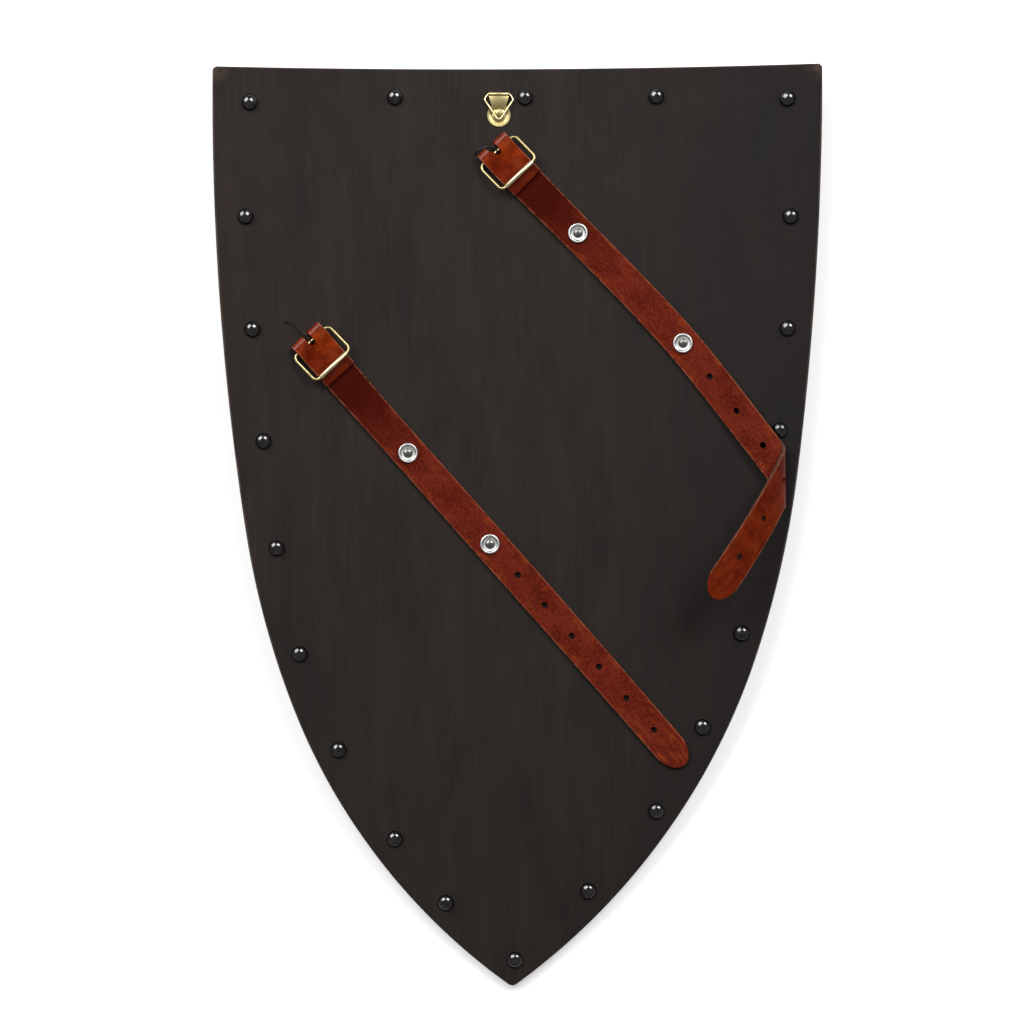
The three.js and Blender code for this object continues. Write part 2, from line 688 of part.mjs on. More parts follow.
function hanger() {
  const group = seat(new THREE.Group(), HANGER.place);
  const ring = piece("hanger_ring", ringGeometry(), "brass");
  ring.position.z = GAP + HANGER.barrel;
  ring.rotation.x = -RING.tilt;
  const screw = piece("hanger_screw", screwGeometry(), "brass");
  screw.position.y = -HANGER.screwFrom;
  group.add(piece("hanger_plate", hangerPlateGeometry(), "brass"), ring, screw);
  return group;
}

// ---- Assembly -----------------------------------------------------------------------------------------

/** A named mesh in one of the finishes. */
function piece(name, geometry, finish) {
  const mesh = new THREE.Mesh(geometry, new THREE.MeshStandardMaterial(FINISH[finish]));
  mesh.name = name;
  return mesh;
}

/** The board, with a hole for each nail, rivet and screw. */
function boardGeometry() {
  const nailHole = NAIL.shank + 2 * GAP;
  const holes = Object.values(NAILS).flat()
    .map((place) => seated(block(nailHole, nailHole, -NAIL.depth - GAP, 1), place));
  for (const place of [...UPPER.rivets, ...LOWER.rivets]) {
    holes.push(seated(post(RIVET.shank + GAP, -BOARD.thickness - 1, 1, 10), place));
    holes.push(seated(post(RIVET.head + GAP, -BOARD.thickness - 1, RIVET.headTop + GAP, 12), place));
  }
  const [u, y] = HANGER.place;
  holes.push(seated(post(SCREW.shank + GAP, -SCREW.depth - GAP, 1, 12), [u, y - HANGER.screwFrom]));
  return carve([plank()], holes);
}

const shield = new THREE.Group();
shield.add(piece("board", boardGeometry(), "wood"));
for (const [row, places] of Object.entries(NAILS)) {
  places.forEach((place, i) => {
    const name = places.length > 1 ? `stud_${row}_${i + 1}` : `stud_${row}`;
    shield.add(seat(piece(name, nailGeometry(), "gunmetal"), place));
  });
}
for (const strap of [UPPER, LOWER]) {
  shield.add(piece(`strap_${strap.name}`, strapGeometry(strap), "leather"), buckle(strap));
  strap.rivets.forEach((place, i) => {
    shield.add(seat(piece(`rivet_${strap.name}_${i + 1}`, rivetGeometry(), "steel"), place));
    shield.add(seat(piece(`washer_${strap.name}_${i + 1}`, washerGeometry(), "steel"), place));
  });
}
shield.add(hanger());

export default shield;
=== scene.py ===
"""Looks of a wooden heater shield that lies on its front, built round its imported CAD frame.

Sizes in the classes are millimetres. Most places are given on the flat pattern of the hollow back face, as
(u, y) with h above the face, and HollowBack turns them into the frame's metres.
"""

import json
import logging
import math
import random
from collections.abc import Callable, Iterable, Sequence
from dataclasses import dataclass, field
from enum import Enum

import bmesh
import bpy
from mathutils import Matrix, Vector
from mathutils.geometry import intersect_line_line_2d

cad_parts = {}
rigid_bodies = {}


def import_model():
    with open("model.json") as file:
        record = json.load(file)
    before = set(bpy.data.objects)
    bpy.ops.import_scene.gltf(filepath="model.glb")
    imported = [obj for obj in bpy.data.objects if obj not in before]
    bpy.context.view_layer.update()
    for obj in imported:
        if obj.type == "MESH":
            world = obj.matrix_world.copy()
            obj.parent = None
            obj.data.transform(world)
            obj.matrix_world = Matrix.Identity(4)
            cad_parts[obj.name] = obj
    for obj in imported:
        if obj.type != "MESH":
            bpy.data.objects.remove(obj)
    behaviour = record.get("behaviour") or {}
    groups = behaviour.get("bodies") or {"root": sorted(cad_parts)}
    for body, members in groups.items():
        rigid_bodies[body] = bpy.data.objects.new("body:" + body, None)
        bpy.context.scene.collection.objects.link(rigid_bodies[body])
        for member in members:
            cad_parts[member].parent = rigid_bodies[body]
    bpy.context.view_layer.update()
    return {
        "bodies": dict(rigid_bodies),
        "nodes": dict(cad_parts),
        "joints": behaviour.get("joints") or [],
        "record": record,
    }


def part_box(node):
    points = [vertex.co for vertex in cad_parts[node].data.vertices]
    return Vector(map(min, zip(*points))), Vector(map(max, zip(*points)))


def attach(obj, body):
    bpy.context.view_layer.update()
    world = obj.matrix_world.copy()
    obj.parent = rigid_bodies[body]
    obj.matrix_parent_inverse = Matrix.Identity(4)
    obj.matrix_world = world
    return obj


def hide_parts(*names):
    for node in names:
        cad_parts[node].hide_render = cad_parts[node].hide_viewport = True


LOG = logging.getLogger("shield")
MM = 0.001
WELD = 2e-6
ROOT_BODY = "shield"


# ---- Working with Blender's operators -----------------------------------------------------------------


def pick(piece: bpy.types.Object) -> None:
    """Makes one object the only selected one, and the active one.

    Args:
        piece: The object to pick.
    """
    if bpy.context.mode != "OBJECT":
        bpy.ops.object.mode_set(mode="OBJECT")
    bpy.ops.object.select_all(action="DESELECT")
    piece.select_set(True)
    bpy.context.view_layer.objects.active = piece


def fresh() -> None:
    """Leaves nothing selected, so that a new primitive is alone."""
    if bpy.context.mode != "OBJECT":
        bpy.ops.object.mode_set(mode="OBJECT")
    bpy.ops.object.select_all(action="DESELECT")


def new_piece(name: str) -> bpy.types.Object:
    """Names the primitive that was just added and settles its place into its mesh.

    Args:
        name: The new object's name.

    Returns:
        The object.
    """
    piece = bpy.context.object
    piece.name = name
    piece.data.name = name
    bpy.ops.object.transform_apply(location=True, rotation=True, scale=True)
    return piece


def select_faces(piece: bpy.types.Object, wanted: Callable[[bmesh.types.BMFace], bool]) -> None:
    """Selects the faces that pass a test, in edit mode.

    Args:
        piece: The object being edited.
        wanted: The test.
    """
    bpy.ops.mesh.select_mode(type="FACE")
    bpy.ops.mesh.select_all(action="DESELECT")
    mesh = bmesh.from_edit_mesh(piece.data)
    for face in mesh.faces:
        face.select_set(wanted(face))
    mesh.select_flush_mode()
    bmesh.update_edit_mesh(piece.data)


def cap_open_ends(piece: bpy.types.Object) -> None:
    """Fills each open rim with a face, in edit mode.

    Args:
        piece: The object being edited.
    """
    bpy.ops.mesh.select_mode(type="EDGE")
    bpy.ops.mesh.select_all(action="DESELECT")
    mesh = bmesh.from_edit_mesh(piece.data)
    for edge in mesh.edges:
        edge.select_set(edge.is_boundary)
    bmesh.update_edit_mesh(piece.data)
    if any(edge.is_boundary for edge in mesh.edges):
        bpy.ops.mesh.edge_face_add()


def apply_modifier(piece: bpy.types.Object, kind: str, **settings: object) -> None:
    """Adds a modifier with some settings and applies it.

    Args:
        piece: The object.
        kind: The modifier's type.
        **settings: The modifier's own settings.
    """
    pick(piece)
    modifier = piece.modifiers.new(kind.title(), kind)
    for name, value in settings.items():
        setattr(modifier, name, value)
    bpy.ops.object.modifier_apply(modifier=modifier.name)


def cut_away(piece: bpy.types.Object, cutters: Sequence[bpy.types.Object]) -> None:
    """Cuts the cutters' shapes out of a piece and removes the cutters.

    Args:
        piece: The piece to cut.
        cutters: Closed solids.
    """
    for cutter in cutters:
        apply_modifier(piece, "BOOLEAN", operation="DIFFERENCE", solver="EXACT", object=cutter)
        bpy.data.objects.remove(cutter)


def smooth(piece: bpy.types.Object, degrees: float) -> None:
    """Shades a piece smooth, except across edges sharper than an angle.

    Args:
        piece: The object.
        degrees: The angle.
    """
    pick(piece)
    bpy.ops.object.shade_smooth_by_angle(angle=math.radians(degrees))


def map_points(piece: bpy.types.Object, move: Callable[[Vector], Vector]) -> None:
    """Moves each vertex to a new place worked out from its old one.

    Args:
        piece: The object, whose mesh holds its place.
        move: Old place to new place.
    """
    for vertex in piece.data.vertices:
        vertex.co = move(vertex.co)
    piece.data.update()


def join(pieces: Sequence[bpy.types.Object], name: str) -> bpy.types.Object:
    """Joins pieces into one object.

    Args:
        pieces: The objects, the first of which is kept.
        name: The name of the result.

    Returns:
        The joined object.
    """
    pick(pieces[0])
    for piece in pieces[1:]:
        piece.select_set(True)
    bpy.ops.object.join()
    pieces[0].name = name
    return pieces[0]


def copy_of(piece: bpy.types.Object, name: str) -> bpy.types.Object:
    """Copies a piece with a mesh of its own.

    Args:
        piece: The object.
        name: The copy's name.

    Returns:
        The copy.
    """
    pick(piece)
    bpy.ops.object.duplicate(linked=False)
    copy = bpy.context.object
    copy.name = name
    copy.data.name = name
    return copy


def place(piece: bpy.types.Object, matrix: Matrix) -> bpy.types.Object:
    """Moves a piece's mesh, leaving the object at the origin.

    Args:
        piece: The object.
        matrix: Its own coordinates to the frame's.

    Returns:
        The same object.
    """
    piece.data.transform(matrix)
    piece.data.update()
    return piece


def turned(name: str, profile: Sequence[tuple[float, float]], sides: int,
           closed: bool = False) -> bpy.types.Object:
    """Builds a round piece about Z by extruding and scaling a ring from step to step.

    Args:
        name: The object's name.
        profile: (radius, height) steps in millimetres. A last radius of 0 closes to a point.
        sides: Faces round the ring.
        closed: Whether the last ring is the first one again, as on a tube.

    Returns:
        The object.
    """
    point = 1e-4
    fresh()
    radius, height = profile[0]
    bpy.ops.mesh.primitive_circle_add(vertices=sides, radius=radius * MM, location=(0, 0, height * MM))
    piece = new_piece(name)
    bpy.ops.object.mode_set(mode="EDIT")
    bpy.ops.mesh.select_mode(type="EDGE")
    bpy.ops.mesh.select_all(action="SELECT")
    for next_radius, next_height in profile[1:]:
        rise = (0, 0, (next_height - height) * MM)
        bpy.ops.mesh.extrude_region_move(TRANSFORM_OT_translate={"value": rise})
        scale = max(next_radius, point) / radius
        bpy.ops.transform.resize(value=(scale, scale, 1), center_override=(0, 0, next_height * MM))
        radius, height = max(next_radius, point), next_height
    bpy.ops.mesh.select_all(action="SELECT")
    bpy.ops.mesh.remove_doubles(threshold=WELD)
    if not closed:
        cap_open_ends(piece)
    bpy.ops.mesh.select_all(action="SELECT")
    bpy.ops.mesh.normals_make_consistent(inside=False)
    bpy.ops.object.mode_set(mode="OBJECT")
    return piece


def wire(name: str, points: Sequence[Vector], radius: float, closed: bool = False,
         thickness: Callable[[float], float] | None = None) -> bpy.types.Object:
    """Builds a round wire along a line of points.

    Args:
        name: The object's name.
        points: The line, in metres.
        radius: The wire's radius in millimetres.
        closed: Whether the line closes.
        thickness: Share of the radius at a place from 0 to 1 along the line.

    Returns:
        The object.
    """
    fresh()
    bpy.ops.curve.primitive_bezier_curve_add(location=(0, 0, 0))
    curve = bpy.context.object
    curve.data.splines.clear()
    spline = curve.data.splines.new("POLY")
    spline.points.add(len(points) - 1)
    for i, (knot, point) in enumerate(zip(spline.points, points)):
        knot.co = (*point, 1)
        knot.radius = thickness(i / (len(points) - 1)) if thickness else 1
    spline.use_cyclic_u = closed
    curve.data.dimensions = "3D"
    curve.data.bevel_depth = radius * MM
    curve.data.bevel_resolution = 4
    curve.data.use_fill_caps = not closed
    bpy.ops.object.convert(target="MESH")
    piece = new_piece(name)
    bpy.ops.object.mode_set(mode="EDIT")
    bpy.ops.mesh.select_all(action="SELECT")
    bpy.ops.mesh.remove_doubles(threshold=WELD)
    bpy.ops.mesh.normals_make_consistent(inside=False)
    bpy.ops.object.mode_set(mode="OBJECT")
    return piece


def rounded_loop(corners: Sequence[tuple[float, float, float]], steps: int) -> list[Vector]:
    """Rounds the corners of a flat loop with arcs.

    Args:
        corners: (x, y, radius) of each corner.
        steps: Steps in each arc.

    Returns:
        Points round the loop, in the corners' own units.
    """
    loop: list[Vector] = []
    for i, (x, y, radius) in enumerate(corners):
        at = Vector((x, y))
        before = (Vector(corners[i - 1][:2]) - at).normalized()
        after = (Vector(corners[(i + 1) % len(corners)][:2]) - at).normalized()
        if not radius:
            loop.append(at)
            continue
        half = math.acos(max(-1, min(1, before.dot(after)))) / 2
        centre = at + (before + after).normalized() * radius / math.sin(half)
        start = at + before * radius / math.tan(half) - centre
        sweep = (math.pi - 2 * half) * (1 if before.cross(after) < 0 else -1)
        for k in range(steps + 1):
            spoke = start.copy()
            spoke.rotate(Matrix.Rotation(sweep * k / steps, 2))
            loop.append(centre + spoke)
    return loop


def prism(name: str, outline: Sequence[Vector], foot: float, rise: float) -> bpy.types.Object:
    """Builds an upright prism: a filled circle drawn out to an outline, then extruded.

    Args:
        name: The object's name.
        outline: The outline, anticlockwise, in millimetres.
        foot: Height of the outline.
        rise: How far it is extruded, negative for downwards.

    Returns:
        The object.
    """
    fresh()
    bpy.ops.mesh.primitive_circle_add(vertices=len(outline), radius=1, fill_type="NGON")
    piece = new_piece(name)
    for vertex, corner in zip(piece.data.vertices, outline):
        vertex.co = (corner.x * MM, corner.y * MM, foot * MM)
    bpy.ops.object.mode_set(mode="EDIT")
    bpy.ops.mesh.select_all(action="SELECT")
    bpy.ops.mesh.extrude_region_move(TRANSFORM_OT_translate={"value": (0, 0, rise * MM)})
    bpy.ops.mesh.select_all(action="SELECT")
    bpy.ops.mesh.normals_make_consistent(inside=False)
    bpy.ops.object.mode_set(mode="OBJECT")
    return piece


def cut_slab(name: str, outline: Sequence[Vector], top: float, bottom: float,
             arris: float) -> bpy.types.Object:
    """Cuts a flat blank along an outline and rounds its arrises.

    Args:
        name: The object's name.
        outline: The outline, anticlockwise, in millimetres.
        top: Height of the upper face.
        bottom: Height of the lower face.
        arris: Radius of the rounded edges.

    Returns:
        The blank.
    """
    blank = prism(name, outline, top - arris, bottom - top + 2 * arris)
    steps = 3
    bpy.ops.object.mode_set(mode="EDIT")
    for up in (1, -1):
        select_faces(blank, lambda face: face.normal.z * up > 0.99)
        for k in range(steps):
            a, b = (math.pi / 2 * j / steps for j in (k, k + 1))
            bpy.ops.mesh.inset(thickness=arris * (math.cos(a) - math.cos(b)) * MM,
                               depth=arris * (math.sin(b) - math.sin(a)) * MM)
    bpy.ops.object.mode_set(mode="OBJECT")
    return blank


def score(piece: bpy.types.Object, across: Vector, places: Iterable[float]) -> None:
    """Splits a piece's faces along parallel planes, so that it can bend there.

    Args:
        piece: The object.
        across: Normal of the planes.
        places: Distance of each plane from the origin, in millimetres.
    """
    pick(piece)
    bpy.ops.object.mode_set(mode="EDIT")
    for distance in places:
        bpy.ops.mesh.select_all(action="SELECT")
        bpy.ops.mesh.bisect(plane_co=across * distance * MM, plane_no=across, threshold=1e-7)
    bpy.ops.object.mode_set(mode="OBJECT")


def spaced(start: float, end: float, step: float) -> list[float]:
    """Evenly spaced numbers from start to end, both included, about step apart."""
    count = max(1, round(abs(end - start) / step))
    return [start + (end - start) * i / count for i in range(count + 1)]


def arc(centre: Vector, radius: float, start: float, end: float, steps: int) -> list[Vector]:
    """Points on a flat arc, both ends included, with the angles in radians."""
    return [centre + Vector((radius * math.cos(a), radius * math.sin(a)))
            for a in (start + (end - start) * k / steps for k in range(steps + 1))]


def line_through(knots: Sequence[Vector], steps: int) -> list[Vector]:
    """A smooth line through points, in the plane or in space.

    Args:
        knots: The points.
        steps: Steps between two of them.

    Returns:
        Points along the line, from the first knot to the last.
    """
    line: list[Vector] = []
    for i in range(len(knots) - 1):
        before, start, end = knots[max(i - 1, 0)], knots[i], knots[i + 1]
        after = knots[min(i + 2, len(knots) - 1)]
        leave, arrive = (end - before) * 0.5, (after - start) * 0.5
        cubic = (start - end) * 2 + leave + arrive
        square = (end - start) * 3 - leave * 2 - arrive
        for t in (k / steps for k in range(steps)):
            line.append(cubic * t**3 + square * t**2 + leave * t + start)
    return [*line, knots[-1].copy()]


# ---- Node sheets and shared effects -------------------------------------------------------------------


class NodeSheet:
    """A node tree with short calls that add and join nodes."""

    def __init__(self, tree: bpy.types.NodeTree) -> None:
        """Keeps the tree.

        Args:
            tree: The tree that the nodes go into.
        """
        self.tree = tree

    def add(self, kind: str, inputs: dict[str, object] | None = None, **settings: object) -> bpy.types.Node:
        """Adds a node.

        Args:
            kind: The node's type, without its ShaderNode prefix.
            inputs: Values or sockets by input name.
            **settings: The node's own settings.

        Returns:
            The node.
        """
        node = self.tree.nodes.new("ShaderNode" + kind)
        for name, value in settings.items():
            setattr(node, name, value)
        for name, value in (inputs or {}).items():
            self.feed(node.inputs[name], value)
        return node

    def feed(self, socket: bpy.types.NodeSocket, value: object) -> None:
        """Joins a socket to a socket, or sets it to a value.

        Args:
            socket: The input to feed.
            value: An output to join it to, or a plain value.
        """
        if isinstance(value, bpy.types.NodeSocket):
            self.tree.links.new(value, socket)
        else:
            socket.default_value = value

    def blend(self, factor: object, first: object, second: object) -> bpy.types.NodeSocket:
        """Mixes two colours.

        Args:
            factor: Share of the second colour.
            first: A colour or a socket.
            second: A colour or a socket.

        Returns:
            The mixed colour.
        """
        node = self.tree.nodes.new("ShaderNodeMix")
        node.data_type = "RGBA"
        for index, value in ((0, factor), (6, first), (7, second)):
            self.feed(node.inputs[index], (*value, 1) if isinstance(value, tuple) else value)
        return node.outputs[2]

    def mix(self, factor: object, first: object, second: object) -> bpy.types.NodeSocket:
        """Mixes two numbers.

        Args:
            factor: Share of the second number.
            first: A number or a socket.
            second: A number or a socket.

        Returns:
            The mixed number.
        """
        node = self.add("Mix", data_type="FLOAT")
        for index, value in ((0, factor), (2, first), (3, second)):
            self.feed(node.inputs[index], value)
        return node.outputs[0]

    def split(self, vector: object) -> bpy.types.bpy_prop_collection:
        """The X, Y and Z outputs of a vector taken apart."""
        return self.add("SeparateXYZ", {"Vector": vector}).outputs

    def distance(self, vector: object, place: tuple[float, float, float]) -> bpy.types.NodeSocket:
        """Distance of each point of a surface from a place.

        Args:
            vector: The surface's coordinates.
            place: The place.

        Returns:
            The distance.
        """
        node = self.add("VectorMath", operation="DISTANCE")
        self.feed(node.inputs[0], vector)
        self.feed(node.inputs[1], place)
        return node.outputs["Value"]

    def remap(self, value: object, low: float, high: float, to_low: float = 0,
              to_high: float = 1) -> bpy.types.NodeSocket:
        """Stretches a value's range onto another, smoothly and clamped.

        Args:
            value: The value.
            low: Start of its range.
            high: End of its range.
            to_low: What low becomes.
            to_high: What high becomes.

        Returns:
            The new value.
        """
        node = self.add("MapRange", interpolation_type="SMOOTHSTEP")
        for name, number in (("Value", value), ("From Min", low), ("From Max", high), ("To Min", to_low),
                             ("To Max", to_high)):
            self.feed(node.inputs[name], number)
        return node.outputs["Result"]

    def maths(self, operation: str, *values: object) -> bpy.types.NodeSocket:
        """Works out a sum, product or other function of numbers.

        Args:
            operation: Name of the operation.
            *values: Its operands.

        Returns:
            The result.
        """
        node = self.add("Math", operation=operation)
        for socket, value in zip(node.inputs, values):
            self.feed(socket, value)
        return node.outputs[0]

    def scaled(self, vector: object, scale: tuple[float, float, float],
               shift: tuple[float, float, float] = (0, 0, 0)) -> bpy.types.NodeSocket:
        """Scales and shifts a pattern's coordinates.

        Args:
            vector: The coordinates.
            scale: Factor on each axis.
            shift: Added afterwards.

        Returns:
            The new coordinates.
        """
        return self.add("Mapping", {"Vector": vector, "Scale": scale, "Location": shift}).outputs["Vector"]

    def noise(self, vector: object, scale: object, detail: float = 4, roughness: float = 0.55,
              distortion: float = 0) -> bpy.types.NodeSocket:
        """Cloudy noise from 0 to 1.

        Args:
            vector: The coordinates.
            scale: Features in each unit of length.
            detail: Octaves.
            roughness: Strength of the finer octaves.
            distortion: Swirl.

        Returns:
            The noise value.
        """
        node = self.add("TexNoise", {"Vector": vector, "Scale": scale, "Detail": detail,
                                     "Roughness": roughness, "Distortion": distortion})
        return node.outputs[0]

    def group(self, tree: bpy.types.NodeTree, inputs: dict[str, object]) -> bpy.types.NodeSocket:
        """Adds a shared effect.

        Args:
            tree: The effect's node group.
            inputs: Values or sockets by input name.

        Returns:
            The effect's first output.
        """
        node = self.add("Group", node_tree=tree)
        for name, value in inputs.items():
            self.feed(node.inputs[name], value)
        return node.outputs[0]


class Effects:
    """The effects that more than one finish uses, each a node group built once."""

    def __init__(self) -> None:
        """Builds the groups."""
        self.streaks = self._streaks()
        self.patches = self._patches()
        self.scratches = self._scratches()

    @staticmethod
    def _start(name: str, floats: dict[str, float]) -> tuple[NodeSheet, bpy.types.Node, bpy.types.Node]:
        """Starts a group with a Vector input, some number inputs and a Mask output.

        Args:
            name: The group's name.
            floats: Number inputs and their usual values.

        Returns:
            The sheet, the input node and the output node.
        """
        tree = bpy.data.node_groups.new(name, "ShaderNodeTree")
        tree.interface.new_socket("Vector", in_out="INPUT", socket_type="NodeSocketVector")
        for key, value in floats.items():
            socket = tree.interface.new_socket(key, in_out="INPUT", socket_type="NodeSocketFloat")
            socket.default_value = value
        tree.interface.new_socket("Mask", in_out="OUTPUT", socket_type="NodeSocketFloat")
        return NodeSheet(tree), tree.nodes.new("NodeGroupInput"), tree.nodes.new("NodeGroupOutput")

    def _streaks(self) -> bpy.types.NodeTree:
        """Long thin streaks along Y, as in wood grain or brushing.

        Returns:
            The node group.
        """
        sheet, given, out = self._start("streaks", {"Across": 300, "Along": 10, "Softness": 0.25})
        scale = sheet.add("CombineXYZ", {"X": given.outputs["Across"], "Y": given.outputs["Along"],
                                         "Z": given.outputs["Along"]}).outputs[0]
        stretched = sheet.add("VectorMath", operation="MULTIPLY")
        sheet.feed(stretched.inputs[0], given.outputs["Vector"])
        sheet.feed(stretched.inputs[1], scale)
        lines = sheet.noise(stretched.outputs[0], 1, detail=5, roughness=0.6, distortion=0.35)
        high = sheet.maths("ADD", 0.5, given.outputs["Softness"])
        sheet.feed(out.inputs["Mask"], sheet.remap(lines, 0.42, high))
        return sheet.tree

    def _patches(self) -> bpy.types.NodeTree:
        """Irregular patches, as of wear, grime or tarnish.

        Returns:
            The node group.
        """
        sheet, given, out = self._start("patches", {"Scale": 60, "Cover": 0.5})
        cloud = sheet.noise(given.outputs["Vector"], given.outputs["Scale"], detail=7, roughness=0.68)
        edge = sheet.maths("SUBTRACT", 0.82, sheet.maths("MULTIPLY", given.outputs["Cover"], 0.6))
        sheet.feed(out.inputs["Mask"], sheet.remap(sheet.maths("SUBTRACT", cloud, edge), -0.06, 0.1))
        return sheet.tree

    def _scratches(self) -> bpy.types.NodeTree:
        """Short fine creases that run every way.

        Returns:
            The node group.
        """
        sheet, given, out = self._start("scratches", {"Scale": 90, "Width": 0.04})
        bent = sheet.noise(given.outputs["Vector"], 60, detail=2)
        mixed = sheet.add("VectorMath", operation="MULTIPLY_ADD")
        sheet.feed(mixed.inputs[0], bent)
        sheet.feed(mixed.inputs[1], (0.012, 0.012, 0.012))
        sheet.feed(mixed.inputs[2], given.outputs["Vector"])
        cells = sheet.add("TexVoronoi", {"Vector": mixed.outputs[0], "Scale": given.outputs["Scale"]},
                          feature="DISTANCE_TO_EDGE")
        line = sheet.add("MapRange", {"Value": cells.outputs["Distance"], "From Min": 0.0,
                                      "From Max": given.outputs["Width"], "To Min": 1.0, "To Max": 0.0})
        broken = sheet.remap(sheet.noise(given.outputs["Vector"], 70, detail=3), 0.5, 0.62)
        sheet.feed(out.inputs["Mask"], sheet.maths("MULTIPLY", line.outputs["Result"], broken))
        return sheet.tree


def surface(name: str, **values: object) -> tuple[bpy.types.Material, NodeSheet, bpy.types.Node]:
    """Starts a material whose Principled sockets have some plain values.

    Args:
        name: The material's name.
        **values: Values by socket name, with underscores for spaces.

    Returns:
        The material, its node sheet and its Principled node.
    """
    material = bpy.data.materials.new(name)
    material.use_nodes = True
    shader = material.node_tree.nodes["Principled BSDF"]
    for key, value in values.items():
        shader.inputs[key.replace("_", " ")].default_value = value
    return material, NodeSheet(material.node_tree), shader


def raise_bumps(sheet: NodeSheet, shader: bpy.types.Node, height: object, depth: float,
                strength: float = 1) -> None:
    """Gives a material relief.

    Args:
        sheet: The material's node sheet.
        shader: Its Principled node.
        height: Height from 0 to 1.
        depth: What a height of 1 stands for, in millimetres.
        strength: Strength of the effect.
    """
    bump = sheet.add("Bump", {"Height": height, "Distance": depth * MM, "Strength": strength})
    sheet.feed(shader.inputs["Normal"], bump.outputs["Normal"])


# ---- Finishes -----------------------------------------------------------------------------------------


@dataclass(frozen=True)
class StainedWood:
    """Near-black stained wood with faint brown grain, rubbed at its edges and top corners, and darkened on
    its right side by painted shade.

    The corners are (x, y) and the dents (x, y, radius), in millimetres.
    """

    dark: tuple[float, float, float] = (0.0235, 0.0188, 0.0172)
    brown: tuple[float, float, float] = (0.0450, 0.0310, 0.0232)
    # The deep tone colours the real dark blotches and also the painted shade over the right side.
    deep_tone_and_shade: tuple[float, float, float] = (0.0125, 0.0118, 0.0125)
    rubbed: tuple[float, float, float] = (0.085, 0.056, 0.041)
    corners: tuple[tuple[float, float], ...] = ((-229, 345), (229, 347))
    dents: tuple[tuple[float, float, float], ...] = (
        (43.7, 133.6, 1.6), (14.1, 152.6, 1.1), (-120, 206, 1.2), (88, -52, 0.9), (-48, -171, 1.3),
        (151, 276, 1.0),
    )

    def material(self, effects: Effects) -> bpy.types.Material:
        """Builds the material.

        Args:
            effects: The shared node groups.

        Returns:
            The material.
        """
        material, sheet, shader = surface("stained_wood", Specular_IOR_Level=0.04)
        own = sheet.add("TexCoord")
        where = own.outputs["Object"]
        fine = sheet.group(effects.streaks, {"Vector": where, "Across": 430, "Along": 22, "Softness": 0.25})
        broad = sheet.group(effects.streaks, {"Vector": where, "Across": 48, "Along": 7, "Softness": 0.34})
        blotches = sheet.noise(sheet.scaled(where, (26, 9, 9)), 1, detail=6, roughness=0.6)
        grain = sheet.maths("MULTIPLY", fine, sheet.remap(blotches, 0.3, 0.75, 0.15, 0.9))
        colour = sheet.blend(sheet.maths("MULTIPLY", broad, 0.38), self.dark, self.brown)
        colour = sheet.blend(sheet.maths("MULTIPLY", grain, 0.6), colour, self.brown)
        colour = sheet.blend(sheet.remap(blotches, 0.42, 0.7, 0.0, 0.45), colour, self.deep_tone_and_shade)
        # Painted shade: the right part of the back fades towards the deep tone, standing in for less light on
        # that side.
        right = sheet.split(where)["X"]
        colour = sheet.blend(sheet.remap(right, 0.03, 0.2, 0.0, 0.55), colour, self.deep_tone_and_shade)
        colour = sheet.blend(self._wear(sheet, effects, own), colour, self.rubbed)
        sheet.feed(shader.inputs["Base Color"], colour)
        rough = sheet.remap(sheet.noise(where, 45, detail=5), 0.3, 0.7, 0.5, 0.68)
        sheet.feed(shader.inputs["Roughness"], rough)
        relief = sheet.maths("SUBTRACT", sheet.maths("MULTIPLY", fine, 0.25), self._dents(sheet, where))
        raise_bumps(sheet, shader, relief, 0.35, 0.6)
        return material

    def _wear(self, sheet: NodeSheet, effects: Effects, own: bpy.types.Node) -> bpy.types.NodeSocket:
        """Mask of the rubbed arrises and corners.

        Args:
            sheet: The material's node sheet.
            effects: The shared node groups.
            own: The Texture Coordinate node.

        Returns:
            The mask.
        """
        where = own.outputs["Object"]
        lean = sheet.maths("ABSOLUTE", sheet.split(own.outputs["Normal"])["Z"])
        arris = sheet.maths("MULTIPLY", sheet.remap(lean, 0.95, 0.75), sheet.remap(lean, 0.12, 0.4))
        patches = sheet.group(effects.patches, {"Vector": where, "Scale": 38, "Cover": 0.62})
        speckle = sheet.group(effects.patches, {"Vector": where, "Scale": 160, "Cover": 0.72})
        mask = sheet.maths("MULTIPLY", arris, sheet.maths("MULTIPLY", patches, 0.45))
        flat = sheet.scaled(where, (1, 1, 0))
        for x, y in self.corners:
            near = sheet.remap(sheet.distance(flat, (x * MM, y * MM, 0)), 0.016, 0.002)
            rubbed = sheet.maths("MULTIPLY", near, sheet.maths("MULTIPLY", speckle, 0.6))
            mask = sheet.maths("MAXIMUM", mask, rubbed)
        return mask

    def _dents(self, sheet: NodeSheet, where: bpy.types.NodeSocket) -> bpy.types.NodeSocket:
        """Depth of the small knocks in the back face.

        Args:
            sheet: The material's node sheet.
            where: The piece's own coordinates.

        Returns:
            The depth, from 0 to 1.
        """
        depth: object = 0.0
        flat = sheet.scaled(where, (1, 1, 0))
        for x, y, radius in self.dents:
            away = sheet.distance(flat, (x * MM, y * MM, 0))
            depth = sheet.maths("MAXIMUM", depth, sheet.remap(away, radius * MM, 0.3 * radius * MM))
        return depth


